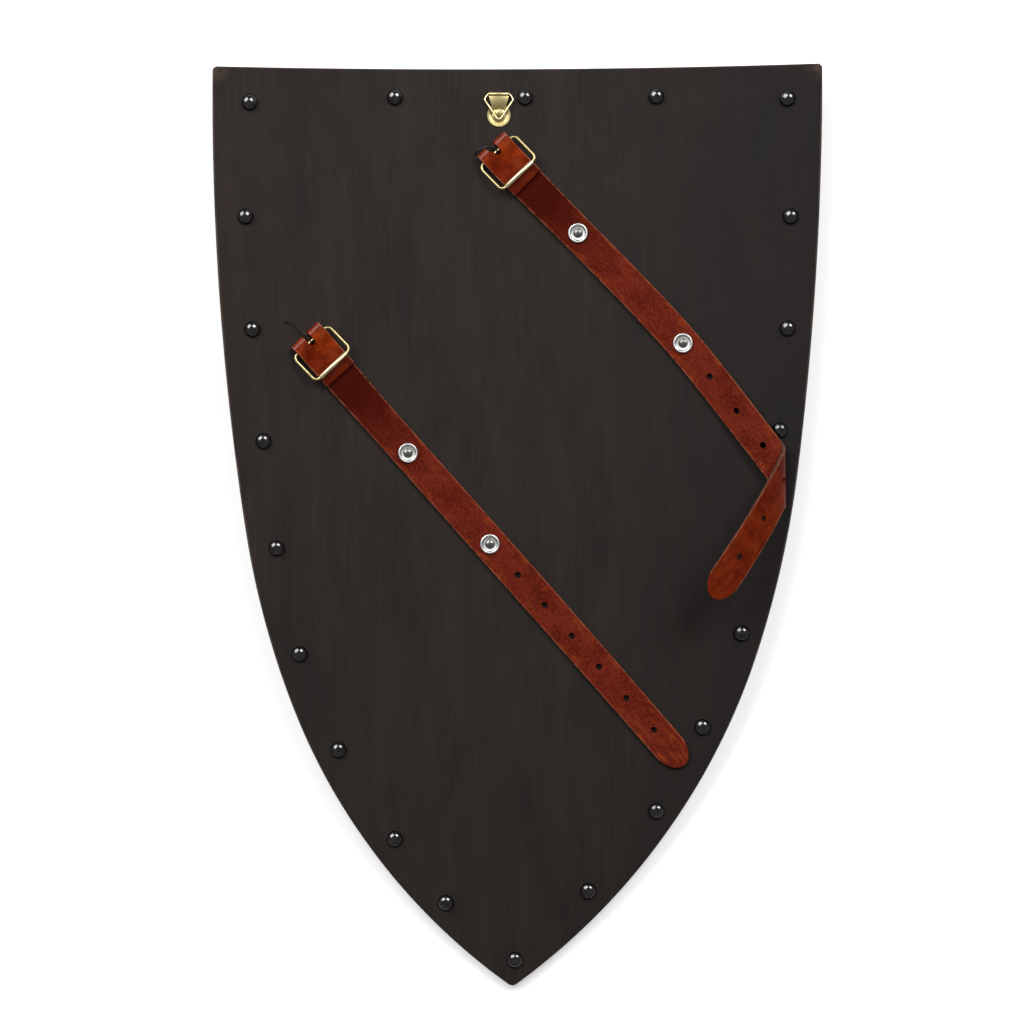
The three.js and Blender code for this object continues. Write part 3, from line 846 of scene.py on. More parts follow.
@dataclass(frozen=True)
class StrapLeather:
    """Red-brown bridle leather: a matt flesh side, a glossy grain side and paler cut edges, with painted
    shade under the roller, on the raised tail and on the flesh side next to the buckle.

    Its patterns follow the "strip" attribute: metres along the strap from the lower end of its fold (negative
    over the fold and flap), metres across it, and metres above its middle (negative on the grain side).
    """

    flesh: tuple[float, float, float] = (0.165, 0.0205, 0.0100)
    # The dark flesh colour serves the real mottling, creases and veins, and also the painted shade next to
    # the buckle.
    flesh_dark_and_shade: tuple[float, float, float] = (0.036, 0.0022, 0.0007)
    amber: tuple[float, float, float] = (0.290, 0.0500, 0.0085)
    grain: tuple[float, float, float] = (0.105, 0.0075, 0.0007)
    # The dark grain colour serves the real streaks and also the painted shade under the roller and on the
    # tail.
    grain_dark_and_shade: tuple[float, float, float] = (0.062, 0.0048, 0.0008)
    grain_light: tuple[float, float, float] = (0.245, 0.0270, 0.0018)
    edge: tuple[float, float, float] = (0.30, 0.085, 0.042)
    burnished: tuple[float, float, float] = (0.045, 0.033, 0.026)

    def material(self, effects: Effects) -> bpy.types.Material:
        """Builds the material.

        Args:
            effects: The shared node groups.

        Returns:
            The material.
        """
        material, sheet, shader = surface("strap_leather", Specular_IOR_Level=0.02, Coat_Roughness=0.24)
        strip = sheet.add("Attribute", attribute_name="strip").outputs["Vector"]
        part = sheet.split(strip)
        side = sheet.maths("ABSOLUTE", part["Y"])
        grain_side = sheet.remap(part["Z"], 0.0003, -0.0007)
        flesh, flesh_height = self._flesh_side(sheet, effects, strip)
        grain, grain_height = self._grain_side(sheet, effects, strip)
        # Painted shade: the grain side darkens where the flap runs under the roller and frame, and along the
        # raised tail.
        painted_shade_under_roller = sheet.remap(part["X"], -0.024, -0.040, 0.0, 0.7)
        painted_shade_on_tail = sheet.remap(part["X"], 0.1, 0.3, 0.0, 0.45)
        grain = sheet.blend(sheet.maths("MAXIMUM", painted_shade_under_roller, painted_shade_on_tail), grain, self.grain_dark_and_shade)
        # Painted shade: the flesh side is darkest next to the buckle and fades out about 140 mm along the
        # strap.
        painted_shade_by_buckle = sheet.remap(part["X"], 0.140, 0.050, 0.0, 0.85)
        flesh = sheet.blend(painted_shade_by_buckle, flesh, self.flesh_dark_and_shade)
        colour = sheet.blend(grain_side, flesh, grain)
        ragged = sheet.group(effects.patches, {"Vector": strip, "Scale": 260, "Cover": 0.6})
        wander = sheet.maths("MULTIPLY_ADD", sheet.noise(strip, 150, detail=4), 0.0012, -0.0006)
        rim = sheet.remap(sheet.maths("ADD", side, wander), 0.0127, 0.0136)
        colour = sheet.blend(sheet.maths("MULTIPLY", rim, sheet.maths("MULTIPLY_ADD", ragged, 0.65, 0.12)),
                             colour, self.edge)
        wall = sheet.remap(side, 0.01360, 0.01400)
        colour = sheet.blend(sheet.maths("MULTIPLY", wall, 0.75), colour, self.burnished)
        sheet.feed(shader.inputs["Base Color"], colour)
        matt = sheet.remap(sheet.noise(strip, 130, detail=4), 0.3, 0.7, 0.56, 0.72)
        gloss = sheet.remap(sheet.noise(strip, 60, detail=4), 0.3, 0.7, 0.30, 0.44)
        sheet.feed(shader.inputs["Roughness"], sheet.mix(grain_side, matt, gloss))
        folded = sheet.remap(part["X"], -0.018, -0.004, 0.15, 0.6)
        unfolded = sheet.remap(part["X"], 0.03, 0.06, 1.0, 0.3)
        polish = sheet.maths("MULTIPLY", grain_side, sheet.maths("MULTIPLY", folded, unfolded))
        sheet.feed(shader.inputs["Coat Weight"], polish)
        raise_bumps(sheet, shader, sheet.mix(grain_side, flesh_height, grain_height), 0.2, 0.8)
        return material

    def _flesh_side(self, sheet: NodeSheet, effects: Effects,
                    strip: bpy.types.NodeSocket) -> tuple[bpy.types.NodeSocket, bpy.types.NodeSocket]:
        """Colour and height of the matt side, with its veins and scuffs.

        Args:
            sheet: The material's node sheet.
            effects: The shared node groups.
            strip: Place along and across the strap.

        Returns:
            The colour and the height.
        """
        clouds = sheet.remap(sheet.noise(strip, 40, detail=6, roughness=0.62), 0.34, 0.66)
        nap = sheet.noise(sheet.scaled(strip, (0.7, 1.2, 1)), 620, detail=5, roughness=0.7)
        mottle = sheet.remap(nap, 0.34, 0.68)
        tone = sheet.maths("MULTIPLY_ADD", clouds, 0.3, sheet.maths("MULTIPLY_ADD", mottle, 0.62, 0.2))
        creases = sheet.group(effects.scratches, {"Vector": strip, "Scale": 260, "Width": 0.14})
        veins = sheet.group(effects.scratches, {"Vector": sheet.scaled(strip, (1, 1, 1), (0.3, 0.1, 0)),
                                                "Scale": 60, "Width": 0.035})
        scuffs = sheet.group(effects.patches, {"Vector": sheet.scaled(strip, (0.5, 1.6, 1)), "Scale": 150,
                                               "Cover": 0.46})
        colour = sheet.blend(tone, self.flesh_dark_and_shade, self.flesh)
        part = sheet.split(strip)
        edges = sheet.remap(sheet.maths("ABSOLUTE", part["Y"]), 0.005, 0.0125, 0.06, 0.5)
        tip = sheet.remap(part["X"], 0.36, 0.42, 0.0, 0.4)
        rubbed = sheet.maths("MULTIPLY", scuffs, sheet.maths("ADD", edges, tip))
        colour = sheet.blend(rubbed, colour, self.amber)
        colour = sheet.blend(sheet.maths("MULTIPLY", creases, 0.4), colour, self.flesh_dark_and_shade)
        colour = sheet.blend(sheet.maths("MULTIPLY", veins, 0.35), colour, self.flesh_dark_and_shade)
        furrows = sheet.maths("MAXIMUM", creases, veins)
        return colour, sheet.maths("SUBTRACT", sheet.maths("MULTIPLY", mottle, 0.5), furrows)

    def _grain_side(self, sheet: NodeSheet, effects: Effects,
                    strip: bpy.types.NodeSocket) -> tuple[bpy.types.NodeSocket, bpy.types.NodeSocket]:
        """Colour and height of the glossy side, with its pores.

        Args:
            sheet: The material's node sheet.
            effects: The shared node groups.
            strip: Place along and across the strap.

        Returns:
            The colour and the height.
        """
        clouds = sheet.remap(sheet.noise(strip, 60, detail=6, roughness=0.66), 0.36, 0.64)
        streaks = sheet.group(effects.streaks, {"Vector": strip, "Across": 70, "Along": 420,
                                                "Softness": 0.22})
        spots = sheet.group(effects.patches, {"Vector": strip, "Scale": 170, "Cover": 0.5})
        colour = sheet.blend(clouds, self.grain, self.grain_light)
        sun = sheet.noise(sheet.scaled(strip, (1, 1, 1), (0.7, 0.2, 0)), 75, detail=5)
        warm = sheet.remap(sun, 0.5, 0.72)
        colour = sheet.blend(sheet.maths("MULTIPLY", warm, 0.45), colour, self.amber)
        colour = sheet.blend(sheet.maths("MULTIPLY", streaks, 0.45), colour, self.grain_dark_and_shade)
        colour = sheet.blend(sheet.maths("MULTIPLY", spots, 0.4), colour, self.grain)
        pores = sheet.add("TexVoronoi", {"Vector": strip, "Scale": 900.0}).outputs["Distance"]
        return colour, sheet.maths("MULTIPLY_ADD", spots, 0.3, sheet.maths("MULTIPLY", pores, 0.2))


class Tarnish(Enum):
    """How much dull film a metal carries."""

    BRIGHT = 0.25
    HANDLED = 0.45
    OLD = 0.6


@dataclass(frozen=True)
class Metal:
    """A polished metal, slightly uneven, under a film of tarnish.

    Colours and roughness are those of the clean metal, then of the tarnished one.
    """

    name: str
    clean: tuple[float, float, float]
    dull: tuple[float, float, float]
    roughness: tuple[float, float]
    tarnish: Tarnish = Tarnish.HANDLED
    patch: float = 240
    relief: float = 0.012
    pitting: float = 110

    def material(self, effects: Effects) -> bpy.types.Material:
        """Builds the material.

        Args:
            effects: The shared node groups.

        Returns:
            The material.
        """
        material, sheet, shader = surface(self.name, Metallic=1.0)
        where = sheet.add("TexCoord").outputs["Object"]
        cloud = sheet.noise(where, self.patch, detail=2)
        edge = 0.72 - 0.4 * self.tarnish.value
        film = sheet.remap(cloud, edge - 0.12, edge + 0.12)
        handling = sheet.group(effects.patches, {"Vector": where, "Scale": 35, "Cover": 0.5})
        film = sheet.maths("MULTIPLY", film, sheet.maths("MULTIPLY_ADD", handling, 0.5, 0.5))
        sheet.feed(shader.inputs["Base Color"], sheet.blend(film, self.clean, self.dull))
        low, high = self.roughness
        sheet.feed(shader.inputs["Roughness"], sheet.maths("MULTIPLY_ADD", film, high - low, low))
        raise_bumps(sheet, shader, sheet.noise(where, self.pitting, detail=1), self.relief, 0.3)
        return material


METALS = (
    Metal("gunmetal", (0.11, 0.11, 0.112), (0.05, 0.048, 0.05), (0.11, 0.19), patch=300, relief=0.25,
          pitting=190),
    Metal("brass", (0.60, 0.50, 0.24), (0.42, 0.33, 0.13), (0.34, 0.42), patch=120),
    Metal("bright_brass", (0.80, 0.68, 0.42), (0.66, 0.53, 0.28), (0.36, 0.42), Tarnish.BRIGHT, patch=120),
    Metal("plated_steel", (0.72, 0.72, 0.71), (0.60, 0.60, 0.60), (0.38, 0.44), Tarnish.BRIGHT, patch=150),
    Metal("rivet_steel", (0.24, 0.235, 0.22), (0.15, 0.145, 0.135), (0.28, 0.36), patch=150),
    Metal("dark_wire", (0.07, 0.045, 0.035), (0.03, 0.02, 0.018), (0.3, 0.5), Tarnish.OLD),
)


@dataclass
class Palette:
    """Every finish as a material."""

    effects: Effects = field(default_factory=Effects)

    def __post_init__(self) -> None:
        """Builds the materials."""
        self.wood = StainedWood().material(self.effects)
        self.leather = StrapLeather().material(self.effects)
        self.metals = {metal.name: metal.material(self.effects) for metal in METALS}


# ---- The hollow back's own coordinates ----------------------------------------------------------------


@dataclass(frozen=True)
class HollowBack:
    """The back face of the board, part of an upright cylinder."""

    bend: float = 1060
    thickness: float = 10
    rest_depth: float = 0.42

    @property
    def axis_height(self) -> float:
        """Height of the cylinder's axis above the floor."""
        return self.bend + self.thickness - self.rest_depth

    def at(self, u: float, y: float, h: float) -> Vector:
        """The frame's place of a point on the flat pattern.

        Args:
            u: Distance to the right of the middle, along the face.
            y: Distance towards the top edge.
            h: Height above the face.

        Returns:
            The place, in metres.
        """
        angle = u / self.bend
        reach = self.bend - h
        return Vector((reach * math.sin(angle), y, self.axis_height - reach * math.cos(angle))) * MM

    def u_of(self, x: float, h: float) -> float:
        """Distance to the right along the face of a point h above it, from its frame X in metres."""
        return self.bend * math.asin(x / MM / (self.bend - h))

    def seat(self, u: float, y: float, h: float = 0, heading: float = 0) -> Matrix:
        """Coordinates of something that sits square on the face.

        Args:
            u: Distance to the right of the middle.
            y: Distance towards the top edge.
            h: Height above the face.
            heading: Turn of its X axis from the frame's, seen from above.

        Returns:
            Its own coordinates to the frame's.
        """
        lean = Matrix.Rotation(-u / self.bend, 4, "Y")
        return Matrix.Translation(self.at(u, y, h)) @ lean @ Matrix.Rotation(heading, 4, "Z")


BACK = HollowBack()


def keep(piece: bpy.types.Object, node: str, body: str, material: bpy.types.Material,
         angle: float) -> None:
    """Dresses a finished piece and ties it to the frame.

    Args:
        piece: The object, whose mesh holds its place.
        node: The CAD node that it stands for.
        body: The CAD body that it moves with.
        material: Its finish.
        angle: Edges sharper than this stay sharp.
    """
    piece.name = f"{node}_look"
    piece.data.name = piece.name
    piece.data.materials.clear()
    piece.data.materials.append(material)
    smooth(piece, angle)
    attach(piece, body)
    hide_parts(node)
    LOG.info("%s: %d faces, rides on %s", piece.name, len(piece.data.polygons), body)


# ---- Board --------------------------------------------------------------------------------------------


@dataclass(frozen=True)
class Side:
    """One side of the outline: straight down from the top corner, then tangent arcs to the tip."""

    top: float
    straight: float
    arcs: tuple[tuple[float, float], ...]

    def curve(self, half_width: float, step: float) -> list[Vector]:
        """Points down the side, on the right of the middle.

        Args:
            half_width: Half the shield's width at the top.
            step: Longest straight stretch.

        Returns:
            The points, from the start of the first arc.
        """
        points = [Vector((half_width, self.top - self.straight))]
        heading = 0.0
        for radius, degrees in self.arcs:
            sweep = math.radians(degrees)
            steps = math.ceil(radius * sweep / step)
            chord = 2 * radius * math.sin(sweep / steps / 2)
            for i in range(steps):
                course = heading + sweep * (i + 0.5) / steps
                points.append(points[-1] - chord * Vector((math.sin(course), math.cos(course))))
            heading += sweep
        return points


@dataclass
class Board:
    """The bent board, with rounded arrises and a countersink in its front for each rivet."""

    half_width: float = 229.6
    corner: float = 2.5
    tip: float = 5
    arris: float = 1.8
    left: Side = Side(345.7, 22, ((2150, 8.74), (640, 12.77), (464, 40)))
    right: Side = Side(347.8, 6, ((2454, 7.02), (736, 11.32), (502, 40)))
    step: float = 9
    countersink: tuple[float, float] = (4.9, 2.2)

    def outline(self) -> list[Vector]:
        """The outline, anticlockwise from the top left corner.

        Returns:
            The points on the flat pattern.
        """
        left = [Vector((-p.x, p.y)) for p in self.left.curve(self.half_width, self.step)]
        right = self.right.curve(self.half_width, self.step)
        i, j, tip = next(
            (i, j, crossing)
            for i in range(1, len(left))
            for j in range(1, len(right))
            if (crossing := intersect_line_line_2d(left[i - 1], left[i], right[j - 1], right[j]))
        )
        corners = [
            (-self.half_width, self.left.top, self.corner),
            *((p.x, p.y, 0) for p in left[: i - 1]),
            (tip.x, tip.y, self.tip),
            *((p.x, p.y, 0) for p in reversed(right[: j - 1])),
            (self.half_width, self.right.top, self.corner),
        ]
        return rounded_loop(corners, 6)

    def build(self, palette: Palette, rivets: Sequence[Matrix]) -> None:
        """Builds the board.

        Args:
            palette: The materials.
            rivets: Seats of the rivets on the back.
        """
        board = cut_slab("board", self.outline(), 0, -BACK.thickness, self.arris)
        score(board, Vector((1, 0, 0)), spaced(-224, 224, 8))
        map_points(board, lambda p: self._bend(p / MM))
        radius, depth = self.countersink
        front = Matrix.Translation((0, 0, -BACK.thickness * MM))
        cutters = []
        for seat in rivets:
            fresh()
            bpy.ops.mesh.primitive_cylinder_add(vertices=40, radius=radius * MM, depth=2 * depth * MM)
            cutters.append(place(new_piece("countersink"), seat @ front))
        cut_away(board, cutters)
        keep(board, "board", ROOT_BODY, palette.wood, 40)

    @staticmethod
    def _bend(flat: Vector) -> Vector:
        """Bends a point of the flat slab and planes off what would be below the floor.

        Args:
            flat: The point, in millimetres.

        Returns:
            Its place in the frame, in metres.
        """
        bent = BACK.at(flat.x, flat.y, flat.z)
        bent.z = max(bent.z, 0)
        return bent


# ---- Nails and rivets ---------------------------------------------------------------------------------


@dataclass
class Nails:
    """The domed nails round the edge."""

    radius: float = 6
    height: float = 4.35
    rim: float = 0.45
    fullness: float = 0.92
    air: float = 0.3
    lean: float = 1.6
    centre_height: float = 2
    seed: int = 7

    def profile(self) -> list[tuple[float, float]]:
        """The nail's profile, from its foot over a small rim to the top of the dome.

        Returns:
            (radius, height) of each step.
        """
        steps = 9
        top = self.air + self.rim
        profile = [(self.radius - 0.35, self.air), (self.radius - 0.06, self.air + 0.12), (self.radius, top)]
        for angle in (math.pi / 2 * k / steps for k in range(1, steps)):
            profile.append((self.radius * math.cos(angle) ** self.fullness,
                            top + (self.height - self.rim) * math.sin(angle)))
        return [*profile, (0, self.air + self.height)]

    def build(self, palette: Palette, nodes: Sequence[str]) -> None:
        """Builds a nail for each node.

        Args:
            palette: The materials.
            nodes: The CAD nodes of the nails.
        """
        pattern = turned("nail", self.profile(), 36)
        rng = random.Random(self.seed)
        for node in nodes:
            low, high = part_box(node)
            middle = (low + high) / 2
            u = BACK.u_of(middle.x, self.centre_height)
            tilt = Matrix.Rotation(math.radians(rng.uniform(-self.lean, self.lean)), 4, "X")
            seat = BACK.seat(u, middle.y / MM, 0, rng.uniform(0, math.tau))
            nail = place(copy_of(pattern, node), seat @ tilt)
            keep(nail, node, ROOT_BODY, palette.metals["gunmetal"], 50)
        bpy.data.objects.remove(pattern)


@dataclass
class Rivets:
    """The rivets that hold the straps, each with a cupped washer."""

    leather_top: float = 3.4
    washer_rim: float = 7.6
    washer_hole: float = 2.4
    cap: float = 3.4
    shank: float = 2
    head: float = 4.5
    head_seat: float = -7.8
    head_face: float = -9.3

    def washer(self) -> bpy.types.Object:
        """A cupped washer: a dished floor inside a raised round rim.

        Returns:
            The object, with its hole on Z.
        """
        foot, rim = self.leather_top, self.washer_rim
        profile = [
            (self.washer_hole, foot), (rim - 0.6, foot), (rim - 0.15, foot + 0.25), (rim, foot + 0.8),
            (rim - 0.12, foot + 1.4), (rim - 0.5, foot + 1.85), (rim - 1.05, foot + 2.0),
            (rim - 1.6, foot + 1.8), (rim - 2.0, foot + 1.3), (rim - 2.35, foot + 0.75),
            (rim - 3, foot + 0.6), (self.washer_hole, foot + 0.55), (self.washer_hole, foot),
        ]
        return turned("washer", profile, 56, closed=True)

    def rivet(self) -> bpy.types.Object:
        """A rivet: countersunk head in front, shank, and domed end over the washer.

        Returns:
            The object, along Z.
        """
        under = self.leather_top + 0.9
        cap, head, face, seat = self.cap, self.head, self.head_face, self.head_seat
        profile = [
            (head - 0.2, face), (head, face + 0.2), (head, seat), (self.shank, seat), (self.shank, under),
            (cap - 0.15, under), (cap, under + 0.25), (cap - 0.05, under + 0.6), (0.86 * cap, under + 1.1),
            (0.62 * cap, under + 1.45), (0.3 * cap, under + 1.62), (0, under + 1.68),
        ]
        return turned("rivet", profile, 48)

    def build(self, palette: Palette, seats: dict[str, Matrix]) -> None:
        """Builds a rivet and washer at each seat.

        Args:
            palette: The materials.
            seats: Seat by the end of the node's name, such as upper_1.
        """
        washer, rivet = self.washer(), self.rivet()
        for name, seat in seats.items():
            keep(place(copy_of(washer, name), seat), f"washer_{name}", ROOT_BODY,
                 palette.metals["plated_steel"], 50)
            keep(place(copy_of(rivet, name), seat), f"rivet_{name}", ROOT_BODY,
                 palette.metals["rivet_steel"], 50)
        for pattern in (washer, rivet):
            bpy.data.objects.remove(pattern)


# ---- Straps -------------------------------------------------------------------------------------------


class Route:
    """A smooth line through points of the flat pattern, measured along its length."""

    def __init__(self, knots: Sequence[tuple[float, float]]) -> None:
        """Samples the line.

        Args:
            knots: The points it passes through.
        """
        samples = 80
        self.points = line_through([Vector(knot) for knot in knots], samples)
        self.lengths = [0.0]
        for a, b in zip(self.points, self.points[1:]):
            self.lengths.append(self.lengths[-1] + (b - a).length)

    def at(self, distance: float) -> tuple[Vector, Vector]:
        """Point and direction at a distance from the start; past the end the line runs on straight.

        Args:
            distance: The distance, which may be negative.

        Returns:
            The point and the direction.
        """
        lengths = self.lengths
        low, high = 0, len(lengths) - 2
        while low < high:
            middle = (low + high + 1) // 2
            if lengths[middle] <= distance:
                low = middle
            else:
                high = middle - 1
        a, b = self.points[low], self.points[low + 1]
        along = (b - a).normalized()
        return a + along * (distance - lengths[low]), along

    def nearest(self, spot: Vector) -> Vector:
        """Distance along the line and across it of a point of the flat pattern.

        Args:
            spot: The point.

        Returns:
            The distances, the second one to the left of the line.
        """
        i = min(range(len(self.points) - 1), key=lambda k: (self.points[k] - spot).length)
        along = (self.points[i + 1] - self.points[i]).normalized()
        away = spot - self.points[i]
        return Vector((self.lengths[i] + away.dot(along), along.cross(away)))


@dataclass(frozen=True)
class TurnOver:
    """How the upper strap's end turns over itself along a line parallel to Y."""

    line: float = 199.4
    radius: float = 3.2
    angle: float = math.radians(125)
    lift: float = 4.4
    lift_from: float = -55
    lift_to: float = -9
    curl: float = 90

    def at(self, t: float, laid: float) -> tuple[float, float, float]:
        """Where the leather's middle goes, at t past the line on the flat strap.

        Args:
            t: Distance past the line, negative before it.
            laid: Height of the middle of leather that lies on the board.

        Returns:
            u, height and slope.
        """
        if t <= 0:
            x = min(1, max(0, (t - self.lift_from) / (self.lift_to - self.lift_from)))
            gradient = 6 * x * (1 - x) * self.lift / (self.lift_to - self.lift_from)
            return self.line + t, laid + self.lift * x * x * (3 - 2 * x), math.atan(gradient)
        base = laid + self.lift
        if t <= self.radius * self.angle:
            turn = t / self.radius
            return self.line + self.radius * math.sin(turn), base + self.radius * (1 - math.cos(turn)), turn
        slope = self.angle + (t - self.radius * self.angle) / self.curl
        back = self.radius * math.sin(self.angle) + self.curl * (math.sin(slope) - math.sin(self.angle))
        rise = self.radius * (1 - math.cos(self.angle)) + self.curl * (math.cos(self.angle) - math.cos(slope))
        return self.line + back, base + rise, slope


@dataclass
class Strap:
    """One leather strap, cut flat, punched, and folded round its buckle's heel bar."""

    name: str
    knots: tuple[tuple[float, float], ...]
    length: float
    punches: tuple[float, ...]
    slot_flare: float = 0
    turn_over: TurnOver | None = None
    thickness: float = 2.8
    arris: float = 0.45
    corner: float = 0.8
    air: float = 0.3
    heel_wire: float = 1.15
    heel_from_fold: float = 7.4
    flap: float = 41
    pressed: float = 18
    slot: float = 10.6
    slot_half: float = 2.5
    punch_radius: float = 2.5
    tip: float = 1.55
    rivet_radius: float = 2.6
    blank_half: float = 14.1
    widths: tuple[tuple[float, float], ...] = ((0, 14.1), (45, 13.6), (90, 13), (260, 13), (440, 12.4))

    def __post_init__(self) -> None:
        """Works out the strap's heights and the lengths of its fold."""
        self.route = Route(self.knots)
        self.laid = self.air + self.thickness / 2
        self.fold_radius = self.thickness / 2 + self.air + self.heel_wire
        self.fold_centre = self.fold_radius + self.thickness / 2
        self.flap_height = self.laid + self.thickness + self.air
        self.top = self.laid + 2 * self.fold_radius
        self.arc = math.pi * self.fold_radius
        self.fall_from = self.heel_from_fold + 1
        self.flat_top = self.fall_from - self.fold_centre
        self.fall_path = self._fall_path()

    def _fall_path(self) -> list[tuple[float, float, float, float]]:
        """Stations down from the top of the fold to the flap.

        Returns:
            Length so far, distance from the fold, height and slope of each.
        """
        steps = 40
        run, drop = self.pressed - self.fall_from, self.top - self.flap_height
        path: list[tuple[float, float, float, float]] = []
        length = 0.0
        for i in range(steps + 1):
            t = i / steps
            d = self.fall_from + run * t
            h = self.top - drop * t * t * (3 - 2 * t)
            if path:
                length += math.hypot(d - path[-1][1], h - path[-1][2])
            path.append((length, d, h, math.atan(6 * t * (1 - t) * drop / run)))
        return path

    def station(self, s: float) -> tuple[float, float, float]:
        """The middle of the leather at a length s from the fold's lower end, negative over the fold.

        Args:
            s: The length along the leather.

        Returns:
            Distance from the fold, height, and slope of the leather.
        """
        if s >= 0:
            return self.fold_centre + s, self.laid, 0
        s = -s
        if s <= self.arc:
            turn = s / self.fold_radius
            return (self.fold_centre - self.fold_radius * math.sin(turn),
                    self.laid + self.fold_radius * (1 - math.cos(turn)), -turn)
        s -= self.arc
        if s <= self.flat_top:
            return self.fold_centre + s, self.top, -math.pi
        s -= self.flat_top
        if s >= self.fall_path[-1][0]:
            return self.pressed + s - self.fall_path[-1][0], self.flap_height, -math.pi
        for (s0, d0, h0, a0), (s1, d1, h1, a1) in zip(self.fall_path, self.fall_path[1:]):
            if s <= s1:
                t = (s - s0) / (s1 - s0)
                return d0 + (d1 - d0) * t, h0 + (h1 - h0) * t, -math.pi - (a0 + (a1 - a0) * t)
        raise ValueError("no such station")

    @property
    def flap_length(self) -> float:
        """Length of leather from the fold's lower end to the flap's cut end."""
        return self.arc + self.flat_top + self.fall_path[-1][0] + self.flap - self.pressed

    def half_width(self, distance: float) -> float:
        """Half the strap's width at a distance from the fold.

        Args:
            distance: The distance.

        Returns:
            The half width.
        """
        for (d0, w0), (d1, w1) in zip(self.widths, self.widths[1:]):
            if distance <= d1:
                return w0 + (w1 - w0) * max(0, distance - d0) / (d1 - d0)
        return self.widths[-1][1]

    def fold_up(self, flat: Vector) -> Vector:
        """The frame's place of a point of the flat blank.

        Args:
            flat: Length, distance across and height on the blank, in millimetres.

        Returns:
            The place, in metres.
        """
        distance, height, slope = self.station(flat.x)
        point, along = self.route.at(distance)
        across = flat.y * self.half_width(flat.x + self.fold_centre) / self.blank_half
        u, y = point.x - along.y * across, point.y + along.x * across
        if self.turn_over and flat.x > 0:
            u, height, slope = self.turn_over.at(u - self.turn_over.line, self.laid)
            return BACK.at(u - math.sin(slope) * flat.z, y, height + math.cos(slope) * flat.z)
        lean = math.sin(slope) * flat.z
        return BACK.at(u - lean * along.x, y - lean * along.y, height + math.cos(slope) * flat.z)

    def _blank(self) -> bpy.types.Object:
        """The flat strip with its rounded tip, scored where it will bend.

        Returns:
            The object, with X along the strap.
        """
        half, cut_end = self.blank_half, -self.flap_length
        tip = self.tip * self.half_width(self.length)
        square_end = self.length - self.fold_centre - tip
        outline = [Vector((cut_end, self.corner - half)), Vector((cut_end + self.corner, -half))]
        for spot in arc(Vector((0, 0)), 1, -math.pi / 2, math.pi / 2, 18):
            outline.append(Vector((square_end + tip * spot.x, half * spot.y)))
        outline += [Vector((cut_end + self.corner, half)), Vector((cut_end, half - self.corner))]
        skin = self.thickness / 2
        blank = cut_slab(f"strap_{self.name}", outline, skin, -skin, self.arris)
        bends = spaced(cut_end + 1, -self.arc - self.flat_top, 1.4)
        bends += spaced(-self.arc - self.flat_top + 0.7, 8, 0.75)
        bends += spaced(12, 190, 5) + spaced(193, square_end, 1.6 if self.turn_over else 5)
        score(blank, Vector((1, 0, 0)), bends)
        score(blank, Vector((0, 1, 0)), spaced(-half + 1.6, half - 1.6, 1.8))
        return blank

    def _cutters(self, rivets: Sequence[Vector]) -> list[bpy.types.Object]:
        """Punches for the holes and the buckle slot, on the flat blank.

        Args:
            rivets: Where the rivets are on the flat pattern of the back.

        Returns:
            The cutters.
        """
        start = Vector((self.fold_centre, 0))
        holes = [(Vector((d, 0)) - start, self.punch_radius) for d in self.punches]
        holes += [(self.route.nearest(rivet) - start, self.rivet_radius) for rivet in rivets]
        through = 4
        cutters = []
        for spot, radius in holes:
            fresh()
            bpy.ops.mesh.primitive_cylinder_add(vertices=32, radius=radius * MM, depth=2 * through * MM,
                                                location=(spot.x * MM, spot.y * MM, 0))
            cutters.append(new_piece("punch"))
        cutters.append(prism("slot", self._slot_outline(), -through, 2 * through))
        return cutters

    def _slot_outline(self) -> list[Vector]:
        """Outline of the buckle's slot on the flat blank, with the upper strap's torn side.

        Returns:
            The points, anticlockwise.
        """
        half = self.slot_half
        near = self.slot - self.fold_centre - half
        far = -self.arc - self.flat_top - (self.slot - self.fall_from - half)
        loop = arc(Vector((near, 0)), half, -math.pi / 2, math.pi / 2, 10)
        loop += arc(Vector((far, 0)), half, math.pi / 2, 3 * math.pi / 2, 10)
        if self.slot_flare:
            middle, flared = -self.arc / 2, -half - self.slot_flare
            loop += [Vector(corner) for corner in (
                (far + 1, -half), (middle - 3, flared + 0.8), (middle, flared), (middle + 3, flared + 0.8),
                (near - 1, -half))]
        return loop

    def build(self, palette: Palette, rivets: Sequence[Vector]) -> None:
        """Cuts, punches and folds the strap.

        Args:
            palette: The materials.
            rivets: Where its rivets are on the flat pattern of the back.
        """
        strap = self._blank()
        cut_away(strap, self._cutters(rivets))
        strap.data.attributes.new("strip", "FLOAT_VECTOR", "POINT")
        strip = strap.data.attributes["strip"].data
        for vertex, spot in zip(strap.data.vertices, strip):
            spot.vector = vertex.co
        map_points(strap, lambda p: self.fold_up(p / MM))
        keep(strap, f"strap_{self.name}", ROOT_BODY, palette.leather, 48)


# ---- Buckles and hanger -------------------------------------------------------------------------------


def joint_seat(frame: dict, name: str, flip: bool = False) -> Matrix:
    """Coordinates at a hinge: Y along its pin, Z out of the hollow back.

    Args:
        name: The joint's name.
        flip: Whether its axis points the other way.

    Returns:
        Its own coordinates to the frame's.
    """
    joint = next(j for j in frame["record"]["behaviour"]["joints"] if j["name"] == name)
    pin = Vector(joint["axis"]).normalized() * (-1 if flip else 1)
    origin = Vector(joint["pos_m"])
    angle = math.atan2(origin.x, BACK.axis_height * MM - origin.z)
    up = Vector((-math.sin(angle), 0, math.cos(angle)))
    along = pin.cross(up).normalized()
    turn = Matrix((along, pin, along.cross(pin))).transposed().to_4x4()
    return Matrix.Translation(origin) @ turn


